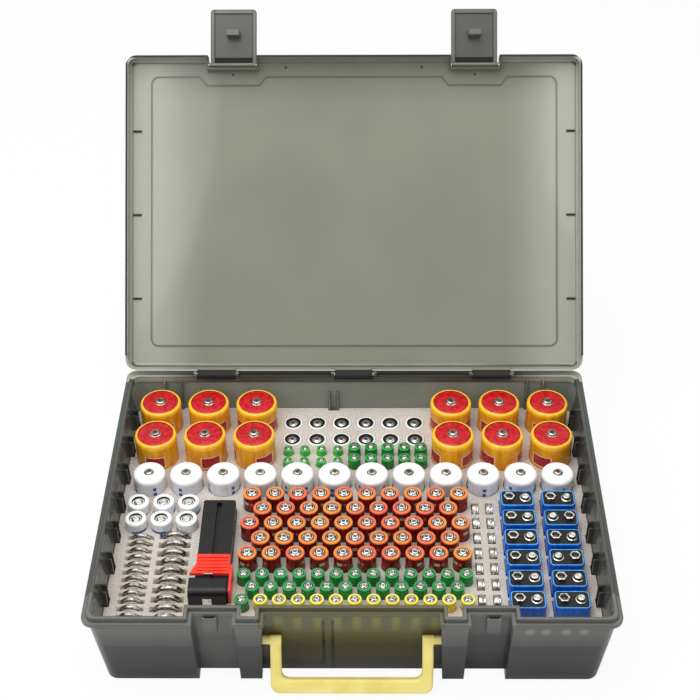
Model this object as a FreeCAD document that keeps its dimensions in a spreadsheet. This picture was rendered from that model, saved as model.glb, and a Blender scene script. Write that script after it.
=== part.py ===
import FreeCAD, Part
import math
import os

# Battery carrying case, modelled in millimetres.
# Frame: +X to the right, +Y to the hinge, +Z up, origin at the middle of the underside.
# It stands open: the lid leans back on its stop, the two latches stand up from the lid's
# free edge, and the carrying handle hangs out of its recess onto the table.

os.makedirs("parts", exist_ok=True)
doc = FreeCAD.newDocument("battery_case")

SIZES = [
    # case body
    ("case_width", 387.0), ("case_depth", 276.0), ("base_height", 76.0),
    ("corner_radius", 9.0), ("wall", 2.4), ("floor_thickness", 2.5), ("bottom_round", 2.0),
    ("inset_top", 3.0), ("inset_bottom", 10.4), ("hinge_ledge", 6.0),
    ("flange_thickness", 2.5), ("lip_height", 3.0), ("lip_inset", 3.3), ("lip_thickness", 3.0),
    # recesses in the front wall, seen from the front
    ("recess_depth", 10.5), ("handle_recess_half_top", 63.8), ("handle_recess_half_bottom", 67.0),
    ("pillar_width_top", 20.5), ("pillar_width_bottom", 15.8), ("latch_recess_width", 31.0),
    ("rim_overhang", 1.3),
    # divider slots moulded inside the walls
    ("slot_pitch", 32.5), ("slot_back", 33.0), ("slot_front", 47.0),
    ("rib_thickness", 1.6), ("rib_gap", 5.4), ("rib_depth", 4.5), ("rib_foot_depth", 0.3),
    ("rib_top", 58.5), ("tall_rib_side", 39.5), ("tall_rib_gap", 12.2), ("tall_rib_depth", 3.4),
    ("tall_rib_top", 72.5),
    ("middle_rib_x", 17.4), ("middle_rib_top", 60.0),
    # hinge
    ("hinge_inset", 4.5), ("hinge_above_rim", 1.5), ("hinge_spacing", 116.5),
    ("lug_width", 32.0), ("lug_radius", 3.3), ("hinge_pin_radius", 1.3), ("pin_clearance", 0.05),
    ("ear_width", 2.8), ("side_gap", 0.4), ("open_angle", 130.0),
    # lid
    ("lid_overhang", 0.3), ("lid_front_gap", 0.5), ("lid_back_gap", 3.7), ("lid_height", 15.0),
    ("lid_wall", 2.2), ("lid_seat_gap", 0.3), ("lid_round", 6.0), ("lip_pass_gap", 0.4),
    ("panel_margin", 20.0), ("panel_front", 15.7), ("panel_groove_width", 1.6),
    ("panel_groove_depth", 0.7), ("panel_radius", 7.0), ("panel_bead_width", 1.2),
    ("panel_bead_height", 0.6), ("panel_step", 7.3), ("panel_step_slope", 6.0),
    ("stud_side", 8.6), ("stud_front", 63.0), ("stud_pitch", 71.7), ("stud_length", 7.4),
    ("stud_width", 1.8), ("stud_height", 0.9),
    ("latch_dimple", 2.0), ("dimple_front", 13.2), ("edge_dimple_x", 58.3),
    # latches
    ("latch_x", 103.4), ("latch_width", 39.6), ("latch_length", 49.9), ("latch_side_gap", 0.7),
    ("latch_back_gap", 0.6), ("latch_pin_inset", 7.0), ("latch_pin_height", 4.5),
    ("latch_pin_radius", 0.9), ("knuckle_radius", 2.0), ("latch_face_gap", 0.7), ("bay_wall", 1.6),
    ("latch_border", 1.6), ("latch_border_width", 3.4), ("latch_plate", 1.8),
    ("hook_drop", 25.8), ("hook_height", 5.2), ("hook_width", 10.6), ("hook_overlap", 2.2),
    ("latch_corner", 3.0), ("catch_x", 102.0), ("catch_width", 10.7), ("catch_front", 7.0),
    ("catch_gap", 0.6), ("catch_wall", 1.7),
    # handle
    ("handle_length", 42.8), ("handle_width", 119.2), ("handle_thickness", 7.0),
    ("handle_arm_width", 8.2), ("handle_bar_height", 11.7), ("handle_edge_round", 2.5),
    ("handle_corner_outer", 7.0), ("handle_corner_inner", 6.0), ("handle_end_radius", 3.9),
    ("handle_pivot_height", 43.0), ("handle_pivot_inset", 12.2), ("handle_tilt", 22.0),
    ("handle_pin_radius", 3.0), ("handle_pin_reach", 1.0),
    # foam
    ("foam_top", 43.0), ("foam_gap", 0.4), ("pocket_depth", 34.2), ("pocket_clearance", 0.3),
    ("cell_seat_gap", 0.3), ("shallow_pocket", 26.0), ("mini_pocket", 18.5), ("slim_pocket", 21.7),
    # cells: diameter and overall length of each standard size
    ("d_diameter", 34.2), ("d_length", 61.5), ("c_diameter", 26.2), ("c_length", 50.0),
    ("aa_diameter", 14.5), ("aa_length", 50.5), ("aaa_diameter", 10.5), ("aaa_length", 44.5),
    ("photo_diameter", 17.0), ("photo_length", 34.5), ("short_diameter", 15.6),
    ("short_length", 27.0), ("alarm_diameter", 10.3), ("alarm_length", 28.5),
    ("slim_diameter", 8.0), ("slim_length", 28.0), ("block_width", 26.5), ("block_depth", 17.5),
    ("block_length", 48.5), ("block_terminal_height", 2.9), ("block_terminal_pitch", 12.7),
    ("block_corner", 2.2), ("block_rim", 1.5), ("block_top_drop", 0.4), ("stud_radius", 2.9),
    ("socket_radius", 4.4), ("cap_thickness", 0.8), ("cap_clearance", 0.05), ("coin_round", 0.4),
    ("button_diameter", 11.6), ("button_thickness", 5.4), ("button_rise", 3.6),
    ("coin_diameter", 20.0), ("coin_thickness", 3.2), ("coin_rise", 4.0),
    ("large_coin_diameter", 24.5), ("large_coin_thickness", 5.0), ("large_coin_rise", 5.0),
    # where each group stands: how far its outermost or backmost cell lies from the outside
    # of the case at the sides and the back, and its pitch across and towards the front
    ("d_side", 31.2), ("d_pitch", 40.4), ("d_back", 30.0), ("d_row", 39.2),
    ("c_side", 28.7), ("c_pitch", 29.95), ("c_back", 103.4), ("group_gap", 2.0),
    ("aa_pitch", 18.22), ("aa_back", 127.2), ("aa_row", 16.0), ("aaa_pitch", 14.0),
    ("aaa_front", 43.3), ("aaa_row", 12.85), ("aa_to_aaa", 15.0), ("aaa_green_share", 0.685),
    ("short_pitch", 20.58), ("short_back", 28.4), ("short_row", 20.4),
    ("alarm_pitch", 13.7), ("alarm_x", 0.8), ("alarm_back", 66.8), ("alarm_row", 13.2),
    ("slim_back", 65.4), ("slim_row", 14.0),
    ("photo_side", 22.9), ("photo_pitch", 20.0), ("photo_back", 130.6), ("photo_row", 18.5),
    ("block_side", 30.9), ("block_pitch_x", 32.6), ("block_back", 129.4), ("block_row", 21.1),
    ("button_side", 85.2), ("button_pitch_x", 11.3), ("button_back", 130.1), ("button_row", 16.0),
    ("coin_side", 28.0), ("coin_back", 162.0), ("coin_row", 7.3),
    ("large_coin_side", 54.9), ("large_coin_back", 160.6), ("large_coin_row", 9.3),
    ("front_margin", 29.0),
    # tester in its own foam pocket
    ("tester_side", 88.3), ("tester_width", 25.4), ("tester_back", 132.3), ("tester_front", 47.0),
    ("tester_height", 26.0), ("tester_rise", 12.0), ("tester_groove", 4.0), ("tester_round", 2.0),
    ("groove_end", 3.0), ("groove_depth", 3.0), ("keel_clearance", 0.3), ("keel_setback", 1.2),
    ("slider_travel", 36.2), ("slider_length", 19.6), ("slider_height", 2.5),
    ("slider_wall", 1.8), ("slider_gap", 0.3),
    ("slider_ribs", 5), ("thumb_rib_height", 0.9), ("thumb_rib_inset", 1.5), ("jaw_width", 28.3),
    ("jaw_inset", 1.3), ("jaw_apron", 2.1), ("jaw_gap", 1.4), ("jaw_above_foam", 0.5),
    ("jaw_round", 5.0),
    ("contact_width", 6.7), ("contact_thickness", 0.6), ("contact_height", 6.5),
]


class Size:
    """A number together with the spreadsheet expression that gives it."""

    def __init__(self, value, text):
        self.value = float(value)
        self.text = text

    @staticmethod
    def of(item):
        return item if isinstance(item, Size) else Size(item, repr(float(item)))

    def join(self, other, sign, value):
        return Size(value, "(" + self.text + sign + Size.of(other).text + ")")

    def __add__(self, other):
        return self.join(other, " + ", self.value + Size.of(other).value)

    def __sub__(self, other):
        return self.join(other, " - ", self.value - Size.of(other).value)

    def __mul__(self, other):
        return self.join(other, " * ", self.value * Size.of(other).value)

    def __truediv__(self, other):
        return self.join(other, " / ", self.value / Size.of(other).value)

    def __radd__(self, other):
        return Size.of(other) + self

    def __rsub__(self, other):
        return Size.of(other) - self

    def __rmul__(self, other):
        return Size.of(other) * self

    def __neg__(self):
        return Size.of(0) - self


def cosine(angle):
    return Size(math.cos(math.radians(angle.value)), "cos(" + angle.text + " * 1deg)")


def sine(angle):
    return Size(math.sin(math.radians(angle.value)), "sin(" + angle.text + " * 1deg)")


sheet = doc.addObject("Spreadsheet::Sheet", "Sizes")
S = {}
for row, (alias, number) in enumerate(SIZES, start=1):
    sheet.set("A%d" % row, alias)
    sheet.set("B%d" % row, str(number))
    sheet.setAlias("B%d" % row, alias)
    S[alias] = Size(number, "Sizes." + alias)
doc.recompute()


# ---------------------------------------------------------------- building blocks

def bind(item, name, size):
    item.setExpression(name, Size.of(size).text)


def place(item, x, y, z):
    for axis, size in (("x", x), ("y", y), ("z", z)):
        bind(item, "Placement.Base." + axis, size)


def box(name, x0, x1, y0, y1, z0, z1):
    """A block given by its low and high faces."""
    item = doc.addObject("Part::Box", name)
    bind(item, "Length", Size.of(x1) - x0)
    bind(item, "Width", Size.of(y1) - y0)
    bind(item, "Height", Size.of(z1) - z0)
    place(item, x0, y0, z0)
    return item


def drafted(name, low, high, z0, z1):
    """A block with sloping sides: low and high are (x0, x1, y0, y1) at z0 and z1."""
    item = doc.addObject("Part::Wedge", name)
    for prop, size in (("Xmin", low[0]), ("Xmax", low[1]), ("Zmin", -Size.of(low[3])),
                       ("Zmax", -Size.of(low[2])), ("X2min", high[0]), ("X2max", high[1]),
                       ("Z2min", -Size.of(high[3])), ("Z2max", -Size.of(high[2])),
                       ("Ymin", 0), ("Ymax", Size.of(z1) - z0)):
        bind(item, prop, size)
    item.Placement.Rotation = FreeCAD.Rotation(FreeCAD.Vector(1, 0, 0), 90)
    place(item, 0, 0, z0)
    return item


AXES = {"x": FreeCAD.Rotation(FreeCAD.Vector(0, 1, 0), 90),
        "y": FreeCAD.Rotation(FreeCAD.Vector(1, 0, 0), -90),
        "z": FreeCAD.Rotation()}


def rod(name, axis, radius, length, x, y, z):
    """A cylinder that starts at (x, y, z) and runs along a positive axis."""
    item = doc.addObject("Part::Cylinder", name)
    bind(item, "Radius", radius)
    bind(item, "Height", length)
    item.Placement.Rotation = AXES[axis]
    place(item, x, y, z)
    return item


def fused(name, items):
    item = doc.addObject("Part::MultiFuse", name)
    item.Shapes = items
    item.Refine = True
    return item


def cut(name, base, tools):
    tool = tools[0] if len(tools) == 1 else fused(name + "_tools", tools)
    item = doc.addObject("Part::Cut", name)
    item.Base = base
    item.Tool = tool
    return item


def rounded(name, base, radius, wanted):
    """Fillet those edges of base for which wanted(low corner, high corner) is true."""
    doc.recompute()
    item = doc.addObject("Part::Fillet", name)
    item.Base = base
    edges = []
    for number, edge in enumerate(base.Shape.Edges, start=1):
        reach = edge.BoundBox
        low = FreeCAD.Vector(reach.XMin, reach.YMin, reach.ZMin)
        high = FreeCAD.Vector(reach.XMax, reach.YMax, reach.ZMax)
        if wanted(low, high):
            edges.append((number, radius.value, radius.value))
    item.Edges = edges
    return item


def upright(low, high):
    return high.z - low.z > 4 * max(high.x - low.x, high.y - low.y, 0.001)


def level_at(height):
    return lambda low, high: abs(low.z - height.value) < 0.01 and abs(high.z - height.value) < 0.01


def fitting(room, pitch):
    """How many copies a pitch apart fit between a first and a last place, at least one."""
    return max(int(room.value / pitch.value), 0) + 1


def finish(item, name):
    """Name an object as one sub-part of the case."""
    item.Label = name
    parts.append(item)
    return item


def hinged(item, y, z, way, angle):
    """Stand a piece drawn about its own axis at (y, z), turned by angle about way * X."""
    item.Placement.Rotation = FreeCAD.Rotation(FreeCAD.Vector(way, 0, 0), angle.value)
    bind(item, "Placement.Rotation.Angle", angle)
    place(item, 0, y, z)


parts = []

# ---------------------------------------------------------------- places worked out once

half_width = S["case_width"] / 2
half_depth = S["case_depth"] / 2
rim_top = S["base_height"]
flange_top = rim_top - S["lip_height"]
flange_low = flange_top - S["flange_thickness"]
hinge_y = half_depth - S["hinge_inset"]
hinge_z = rim_top + S["hinge_above_rim"]
handle_y = -(half_depth - S["handle_pivot_inset"])
handle_z = S["handle_pivot_height"]
taper = (S["inset_bottom"] - S["inset_top"]) / flange_low
foam_low = S["floor_thickness"] + S["cell_seat_gap"]

RECESSES = ("handle", "latch_left", "latch_right")


def recess_sides(which, high):
    """The low and high X of a recess of the front wall, at the rim or at the floor."""
    end = "_top" if high else "_bottom"
    inner = S["handle_recess_half" + end]
    if which == "handle":
        return -inner, inner
    near = inner + S["pillar_width" + end]
    far = near + S["latch_recess_width"]
    return (-far, -near) if which == "latch_left" else (near, far)


def inset_at(height):
    """How far the outside of the drafted wall stands in from the flange at a height."""
    return S["inset_bottom"] - taper * height


def rectangle(inset):
    return (inset - half_width, half_width - inset, inset - half_depth, half_depth - inset)


def drafted_room(name, thickness, z0, z1, round_radius):
    """The case body's outline, moved in by thickness, as a solid from z0 to z1."""
    block = drafted(name + "_block", rectangle(inset_at(z0) + thickness),
                    rectangle(inset_at(z1) + thickness), z0, z1)
    block = rounded(name + "_corners", block, round_radius, upright)
    block = rounded(name + "_edge", block, S["bottom_round"], level_at(Size.of(z0)))
    notches = []
    for which in RECESSES:
        low = recess_sides(which, False)
        high = recess_sides(which, True)
        slope = [(b - a) / flange_low for a, b in zip(low, high)]
        corners = []
        for height in (z0, z1):
            left = low[0] + slope[0] * height - thickness
            right = low[1] + slope[1] * height + thickness
            back = inset_at(height) + S["recess_depth"] + thickness - half_depth
            corners.append((left, right, -half_depth - 5, back))
        notches.append(drafted(name + "_" + which, corners[0], corners[1], z0, z1))
    return cut(name, block, notches)


def rim_plate(name, inset, narrowing, z0, z1, ledge=0):
    """A level plate of the rim's outline, moved in by inset, with the recesses cut out.
    ledge makes it reach further back, under the hinge."""
    x0, x1, y0, y1 = rectangle(inset)
    y1 = y1 + ledge
    block = box(name + "_block", x0, x1, y0, y1, z0, z1)
    block = rounded(name + "_corners", block, S["corner_radius"] - inset / 2, upright)
    notches = []
    for which in RECESSES:
        left, right = recess_sides(which, True)
        back = inset + S["recess_depth"] - half_depth
        notches.append(box(name + "_" + which, left + narrowing, right - narrowing,
                           -half_depth - 5, back, Size.of(z0) - 1, Size.of(z1) + 1))
    return cut(name, block, notches)


# ---------------------------------------------------------------- base shell

def rib_pair(name, x, y, gap, depth, top, side, extra):
    """Two ribs that stand in from a wall and hold the edge of a divider between them. They
    fade into the wall towards the floor. side is (sx, sy), the way out through the wall;
    extra, where it is given, is the room that the foam leaves round the pair."""
    sx, sy = side
    floor = S["floor_thickness"]
    steepness = (depth - S["rib_foot_depth"]) / (top - floor)
    half = half_width if sx else half_depth
    set_back = S["recess_depth"] if name.startswith("front") else Size.of(0)
    if extra is None:
        heights = (floor, top)
        spans = [(-gap / 2 - S["rib_thickness"], -gap / 2), (gap / 2, gap / 2 + S["rib_thickness"])]
    else:
        heights = (floor - 1, S["foam_top"] + 1)
        far = gap / 2 + S["rib_thickness"] + extra
        spans = [(-far, far)]
    ribs = []
    for number, (a, b) in enumerate(spans):
        faces = []
        for height in heights:
            edge = half - inset_at(height) - S["wall"] - set_back
            near = edge - S["rib_foot_depth"] - steepness * (height - floor) - (extra or 0)
            out = edge + S["wall"] / 2
            if sx:
                span = (near, out) if sx > 0 else (-out, -near)
                faces.append((span[0], span[1], y + a, y + b))
            else:
                span = (near, out) if sy > 0 else (-out, -near)
                faces.append((x + a, x + b, span[0], span[1]))
        ribs.append(drafted("%s_rib%d" % (name, number), faces[0], faces[1], *heights))
    return ribs


def all_ribs(tag, extra):
    """Every divider slot of the case; with extra, the room that the foam leaves for it."""
    ribs = []
    first = half_depth - S["slot_back"]
    last = S["slot_front"] - half_depth
    for number in range(fitting(first - last, S["slot_pitch"])):
        y = first - S["slot_pitch"] * number
        for sx, label in ((-1, "left"), (1, "right")):
            ribs += rib_pair("%s%s%d" % (label, tag, number), None, y, S["rib_gap"],
                             S["rib_depth"], S["rib_top"], (sx, 0), extra)
    for sign, label in ((-1, "left"), (1, "right")):
        x = (half_width - S["tall_rib_side"]) * sign
        ribs += rib_pair("back_" + label + tag, x, None, S["tall_rib_gap"], S["tall_rib_depth"],
                         S["tall_rib_top"], (0, 1), extra)
    for sy, label in ((1, "back_middle"), (-1, "front_middle")):
        ribs += rib_pair(label + tag, -S["middle_rib_x"], None, S["rib_gap"], S["rib_depth"],
                         S["middle_rib_top"], (0, sy), extra)
    return ribs


def base_shell():
    outside = drafted_room("outside", Size.of(0), Size.of(0), flange_low, S["corner_radius"])
    room = drafted_room("room", S["wall"], S["floor_thickness"], flange_low,
                        S["corner_radius"] - S["wall"])
    flange = rim_plate("flange", Size.of(0), S["rim_overhang"], flange_low, flange_top,
                       S["hinge_ledge"])
    inside_rim = S["lip_inset"] + S["lip_thickness"]
    lip = rim_plate("lip", S["lip_inset"], S["rim_overhang"] - S["lip_inset"], flange_top, rim_top)
    opening = rim_plate("opening", inside_rim, S["rim_overhang"] - inside_rim,
                        flange_low - 1, rim_top + 1)
    solids = [outside, flange, lip]
    solids += hinge_ears() + catches()
    body = fused("base_body", solids)
    notches = [box("lip_notch%d" % n, x - notch_half, x + notch_half,
                   half_depth - S["lip_inset"] - S["lip_thickness"] - 1, half_depth + 1,
                   flange_top, rim_top + 8) for n, x in enumerate(hinge_places)]
    body = cut("base_hollow", body, [room, opening] + notches + hinge_bores() + handle_sockets())
    return fused("base", [body] + all_ribs("", None))


hinge_places = [-S["hinge_spacing"], Size.of(0), S["hinge_spacing"]]
lug_half = S["lug_width"] / 2
notch_half = lug_half + S["side_gap"]


def hinge_ears():
    """Two ears beside each lug of the lid, standing on the back of the rim."""
    ears = []
    radius = S["lug_radius"]
    for number, x in enumerate(hinge_places):
        for sign, side in ((-1, "a"), (1, "b")):
            if sign < 0:
                x0 = x - notch_half - S["ear_width"]
            else:
                x0 = x + notch_half
            name = "ear%d%s" % (number, side)
            ears.append(box(name, x0, x0 + S["ear_width"], hinge_y - radius, hinge_y + radius,
                            flange_low, hinge_z))
            ears.append(rod(name + "_top", "x", radius, S["ear_width"], x0, hinge_y, hinge_z))
    return ears


def hinge_bores():
    reach = notch_half + S["ear_width"] + 1
    return [rod("hinge_bore%d" % n, "x", S["hinge_pin_radius"] + S["pin_clearance"], reach * 2,
                x - reach, hinge_y, hinge_z) for n, x in enumerate(hinge_places)]


latch_pivot_z = hinge_z + S["latch_pin_height"]
hook_top = latch_pivot_z - S["hook_drop"]


def catches():
    """The loop under the rim in each latch recess, which the latch's hook pulls against."""
    solids = []
    front = -half_depth + S["catch_front"]
    low = hook_top + S["catch_gap"]
    half = S["catch_width"] / 2
    back = inset_at(low) + S["recess_depth"] - half_depth + S["wall"] / 2
    for sign, side in ((-1, "left"), (1, "right")):
        x = S["catch_x"] * sign
        name = "catch_" + side
        block = box(name + "_block", x - half, x + half, front, back, low, flange_low + 0.5)
        gap = box(name + "_gap", x - half + S["catch_wall"], x + half - S["catch_wall"],
                  front + S["catch_wall"], back - S["wall"], low + S["catch_wall"], flange_low + 1)
        solids.append(cut(name, block, [gap]))
    return solids


def handle_sockets():
    """Holes in the inner sides of the two pillars for the handle's stub pins."""
    holes = []
    radius = S["handle_pin_radius"] + S["pin_clearance"] * 2
    for sign, side in ((-1, "left"), (1, "right")):
        start = S["handle_recess_half_top"] - 1
        length = S["wall"] + 5
        x = start if sign > 0 else -start - length
        holes.append(rod("socket_" + side, "x", radius, length, x, handle_y, handle_z))
    return holes


finish(base_shell(), "base_shell")


def hinge_pins():
    reach = notch_half + S["ear_width"]
    return fused("hinge_pins", [rod("hinge_pin%d" % n, "x", S["hinge_pin_radius"], reach * 2,
                                    x - reach, hinge_y, hinge_z)
                                for n, x in enumerate(hinge_places)])


finish(hinge_pins(), "hinge_pins")

# ---------------------------------------------------------------- lid, drawn closed about its hinge

lid_half = half_width + S["lid_overhang"]
lid_front = -half_depth + S["lid_front_gap"] - hinge_y
lid_back = -S["lid_back_gap"]
lid_low = flange_top + S["lid_seat_gap"] - hinge_z
lid_top = lid_low + S["lid_height"]
lip_pass = rim_top + S["lip_pass_gap"] - hinge_z
latch_pin_y = lid_front + S["latch_pin_inset"]
notch_back = latch_pin_y + S["knuckle_radius"] + S["latch_back_gap"]
notch_wide = S["latch_width"] / 2 + S["latch_side_gap"]


def lid_cup(name, thickness):
    """The lid's outside, or its hollow when thickness is the wall."""
    low = lid_low - (1 if thickness.value else 0)
    block = box(name + "_block", thickness - lid_half, lid_half - thickness,
                lid_front + thickness, lid_back - thickness, low, lid_top - thickness)
    block = rounded(name + "_corners", block, S["corner_radius"] - thickness, upright)
    return rounded(name, block, S["lid_round"] - thickness, level_at(lid_top - thickness))


def tapered(name, front, back, y0, y1):
    """A block that changes along its length: front and back are (x0, x1, z0, z1)."""
    item = doc.addObject("Part::Wedge", name)
    for prop, size in (("Xmin", front[0]), ("Xmax", front[1]), ("Zmin", front[2]),
                       ("Zmax", front[3]), ("X2min", back[0]), ("X2max", back[1]),
                       ("Z2min", back[2]), ("Z2max", back[3]), ("Ymin", y0), ("Ymax", y1)):
        bind(item, prop, size)
    return item


def panel_ring(name, width, low, high):
    """A line round the lid's panel between two heights, which steps in behind each latch."""
    rings = []
    for tag, inner in (("wide", Size.of(0)), ("narrow", width)):
        edge = S["panel_margin"] + inner
        near = lid_front + S["panel_front"] + inner
        block = box(name + "_" + tag, edge - lid_half, lid_half - edge, near, lid_back - edge,
                    low, high)
        block = rounded(name + "_corners_" + tag, block, S["panel_radius"] - inner, upright)
        steps = []
        for sign, side in ((-1, "left"), (1, "right")):
            centre = S["latch_x"] * sign
            # half the inset keeps the line as wide on the slope as along the edge
            half = notch_wide + S["bay_wall"] + inner / 2
            wide = half + S["panel_step_slope"]
            steps.append(tapered("%s_step_%s_%s" % (name, tag, side),
                                 (centre - wide, centre + wide, low - 1, high + 1),
                                 (centre - half, centre + half, low - 1, high + 1),
                                 near, near + S["panel_step"]))
        rings.append(cut(name + "_outline_" + tag, block, steps))
    return cut(name, rings[0], [rings[1]])


def lid_lugs():
    """Three lugs on the lid's back edge, bored for the hinge pins."""
    lugs = []
    for number, x in enumerate(hinge_places):
        lugs.append(box("lug%d" % number, x - lug_half, x + lug_half, lid_back - S["lid_wall"],
                        0, -S["lug_radius"], S["lug_radius"]))
        lugs.append(rod("lug_end%d" % number, "x", S["lug_radius"], S["lug_width"],
                        x - lug_half, 0, 0))
    return lugs


def latch_bays():
    """Walls round the notch for each latch, and the notch itself."""
    walls, notches = [], []
    wall = S["bay_wall"]
    for sign, side in ((-1, "left"), (1, "right")):
        x = S["latch_x"] * sign
        walls.append(box("bay_" + side, x - notch_wide - wall, x + notch_wide + wall,
                         lid_front + S["lid_wall"] / 2, notch_back + wall,
                         lip_pass, lid_top - S["lid_wall"] / 2))
        notches.append(box("bay_gap_" + side, x - notch_wide, x + notch_wide, lid_front - 1,
                           notch_back, lid_low - 2, lid_top + 1))
    return walls, notches


def lid_studs():
    """Short raised bars under the lid's panel, three along each side."""
    studs = []
    under = lid_top - S["lid_wall"]
    for number in range(3):
        y = lid_front + S["stud_front"] + S["stud_pitch"] * number
        for sign, side in ((-1, "left"), (1, "right")):
            x = (lid_half - S["stud_side"]) * sign
            studs.append(box("stud_%s%d" % (side, number), x - S["stud_length"] / 2,
                             x + S["stud_length"] / 2, y - S["stud_width"] / 2,
                             y + S["stud_width"] / 2, under - S["stud_height"],
                             under + S["lid_wall"] / 2))
    return studs


def lid_dimples():
    """Square marks in the underside of the panel: behind each latch and near the edge."""
    marks = []
    half = S["latch_dimple"] / 2
    under = lid_top - S["lid_wall"]
    for sign, side in ((-1, "left"), (1, "right")):
        for x, y, tag in ((S["latch_x"], S["dimple_front"] + half, "latch"),
                          (S["edge_dimple_x"], S["lid_wall"] + S["lid_round"], "edge")):
            marks.append(box("dimple_%s_%s" % (tag, side), x * sign - half, x * sign + half,
                             lid_front + y - half, lid_front + y + half, under - 1,
                             under + S["lid_wall"] / 4))
    return marks


def lid_shell():
    cup = cut("lid_cup", lid_cup("lid_outside", Size.of(0)), [lid_cup("lid_inside", S["lid_wall"])])
    walls, notches = latch_bays()
    bead = panel_ring("panel_bead", S["panel_bead_width"],
                      lid_top - S["lid_wall"] - S["panel_bead_height"], lid_top - S["lid_wall"] / 2)
    body = fused("lid_body", [cup, bead] + walls + lid_lugs() + lid_studs())
    corner_room = S["corner_radius"] + S["lid_wall"] + 1
    lip_room = []
    gaps = [(-lid_half - 1, hinge_places[0] - lug_half), (hinge_places[2] + lug_half, lid_half + 1)]
    for a, b in zip(hinge_places, hinge_places[1:]):
        gaps.append((a + lug_half, b - lug_half))
    for number, (x0, x1) in enumerate(gaps):
        lip_room.append(box("lip_room%d" % number, x0, x1, lid_back - corner_room,
                            1, lid_low - 3, lip_pass))
    bores = []
    for number, x in enumerate(hinge_places):
        bores.append(rod("lug_bore%d" % number, "x", S["hinge_pin_radius"] + S["pin_clearance"],
                         S["lug_width"] + 2, x - lug_half - 1, 0, 0))
    for sign, side in ((-1, "left"), (1, "right")):
        reach = notch_wide + S["bay_wall"] + 1
        bores.append(rod("latch_bore_" + side, "x", S["latch_pin_radius"] + S["pin_clearance"],
                         reach * 2, S["latch_x"] * sign - reach, latch_pin_y, S["latch_pin_height"]))
    groove = panel_ring("panel_groove", S["panel_groove_width"],
                        lid_top - S["panel_groove_depth"], lid_top + 1)
    return cut("lid", body, notches + lip_room + bores + lid_dimples() + [groove])


lid = finish(lid_shell(), "lid_shell")
hinged(lid, hinge_y, hinge_z, -1, S["open_angle"])


def latch_pins():
    reach = notch_wide + S["bay_wall"]
    return fused("latch_pins", [rod("latch_pin_" + side, "x", S["latch_pin_radius"], reach * 2,
                                    S["latch_x"] * sign - reach, latch_pin_y, S["latch_pin_height"])
                                for sign, side in ((-1, "left"), (1, "right"))])


pins = finish(latch_pins(), "latch_pins")
hinged(pins, hinge_y, hinge_z, -1, S["open_angle"])

# ---------------------------------------------------------------- latches, drawn closed about their pins

plate_in = -S["latch_pin_inset"] - S["lid_front_gap"] - S["latch_face_gap"]


def latch(side, sign):
    """A dished plate with a knuckle at its top and a hook on its inner face."""
    half = S["latch_width"] / 2
    x = S["latch_x"] * sign
    back = plate_in - S["latch_border"]
    front = back - S["latch_plate"]
    name = "latch_" + side
    top = S["knuckle_radius"]
    plate = box(name + "_plate", x - half, x + half, front, plate_in, -S["latch_length"], top)
    plate = rounded(name + "_round", plate, S["latch_corner"],
                    lambda low, high: high.y - low.y > 1 and high.z - low.z < 0.01
                    and high.z < 0 and high.x - low.x < 0.01)
    border = S["latch_border_width"]
    dish = box(name + "_dish", x - half + border, x + half - border, back, plate_in + 1,
               border - S["latch_length"], -S["latch_pin_height"] - 3)
    arms = [box(name + "_arm0", x - half, x - half + border, plate_in - 1, 0, 0, top),
            box(name + "_arm1", x + half - border, x + half, plate_in - 1, 0, 0, top)]
    knuckle = rod(name + "_knuckle", "x", S["knuckle_radius"], S["latch_width"], x - half, 0, 0)
    catch_back = S["catch_front"] - S["latch_pin_inset"] - S["lid_front_gap"] + S["hook_overlap"]
    hook = box(name + "_hook", x - S["hook_width"] / 2, x + S["hook_width"] / 2, back,
               catch_back, -S["hook_drop"] - S["hook_height"], -S["hook_drop"])
    body = fused(name + "_body", [cut(name + "_dished", plate, [dish]), knuckle, hook] + arms)
    bore = rod(name + "_bore", "x", S["latch_pin_radius"] + S["pin_clearance"],
               S["latch_width"] + 2, x - half - 1, 0, 0)
    return cut(name, body, [bore])


pivot_y = hinge_y + latch_pin_y * cosine(S["open_angle"]) + S["latch_pin_height"] * sine(S["open_angle"])
pivot_z = hinge_z - latch_pin_y * sine(S["open_angle"]) + S["latch_pin_height"] * cosine(S["open_angle"])
for sign, side in ((-1, "left"), (1, "right")):
    one = finish(latch(side, sign), "latch_" + side)
    hinged(one, pivot_y, pivot_z, 1, 270 - S["open_angle"])

# ---------------------------------------------------------------- handle, drawn hanging about its pins

def handle():
    half = S["handle_width"] / 2
    thick = S["handle_thickness"] / 2
    end = S["handle_end_radius"]
    outer = box("handle_outer", -half, half, -thick, thick, -S["handle_length"], 0)
    outer = rounded("handle_outer_corners", outer, S["handle_corner_outer"],
                    lambda low, high: high.y - low.y > 1 and high.x - low.x < 0.01 and low.z < -1)
    inner_half = half - S["handle_arm_width"]
    inner = box("handle_inner", -inner_half, inner_half, -thick - 1, thick + 1,
                S["handle_bar_height"] - S["handle_length"], end + 1)
    inner = rounded("handle_inner_corners", inner, S["handle_corner_inner"],
                    lambda low, high: high.y - low.y > 1 and high.x - low.x < 0.01 and low.z < -1)
    bow = cut("handle_bow", outer, [inner])
    bow = rounded("handle_soft", bow, S["handle_edge_round"],
                  lambda low, high: high.y - low.y < 0.01 and high.z < 0.01 and low.z < -1)
    solids = [bow]
    for sign, side in ((-1, "left"), (1, "right")):
        x = half - S["handle_arm_width"] if sign > 0 else -half
        solids.append(rod("handle_end_" + side, "x", end, S["handle_arm_width"], x, 0, 0))
        reach = S["handle_recess_half_top"] + S["wall"] + S["handle_pin_reach"] - half
        start = half - 1 if sign > 0 else -half - reach
        solids.append(rod("handle_stub_" + side, "x", S["handle_pin_radius"], reach + 1, start, 0, 0))
    return fused("handle", solids)


grip = finish(handle(), "handle")
hinged(grip, handle_y, handle_z, -1, S["handle_tilt"])

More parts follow.
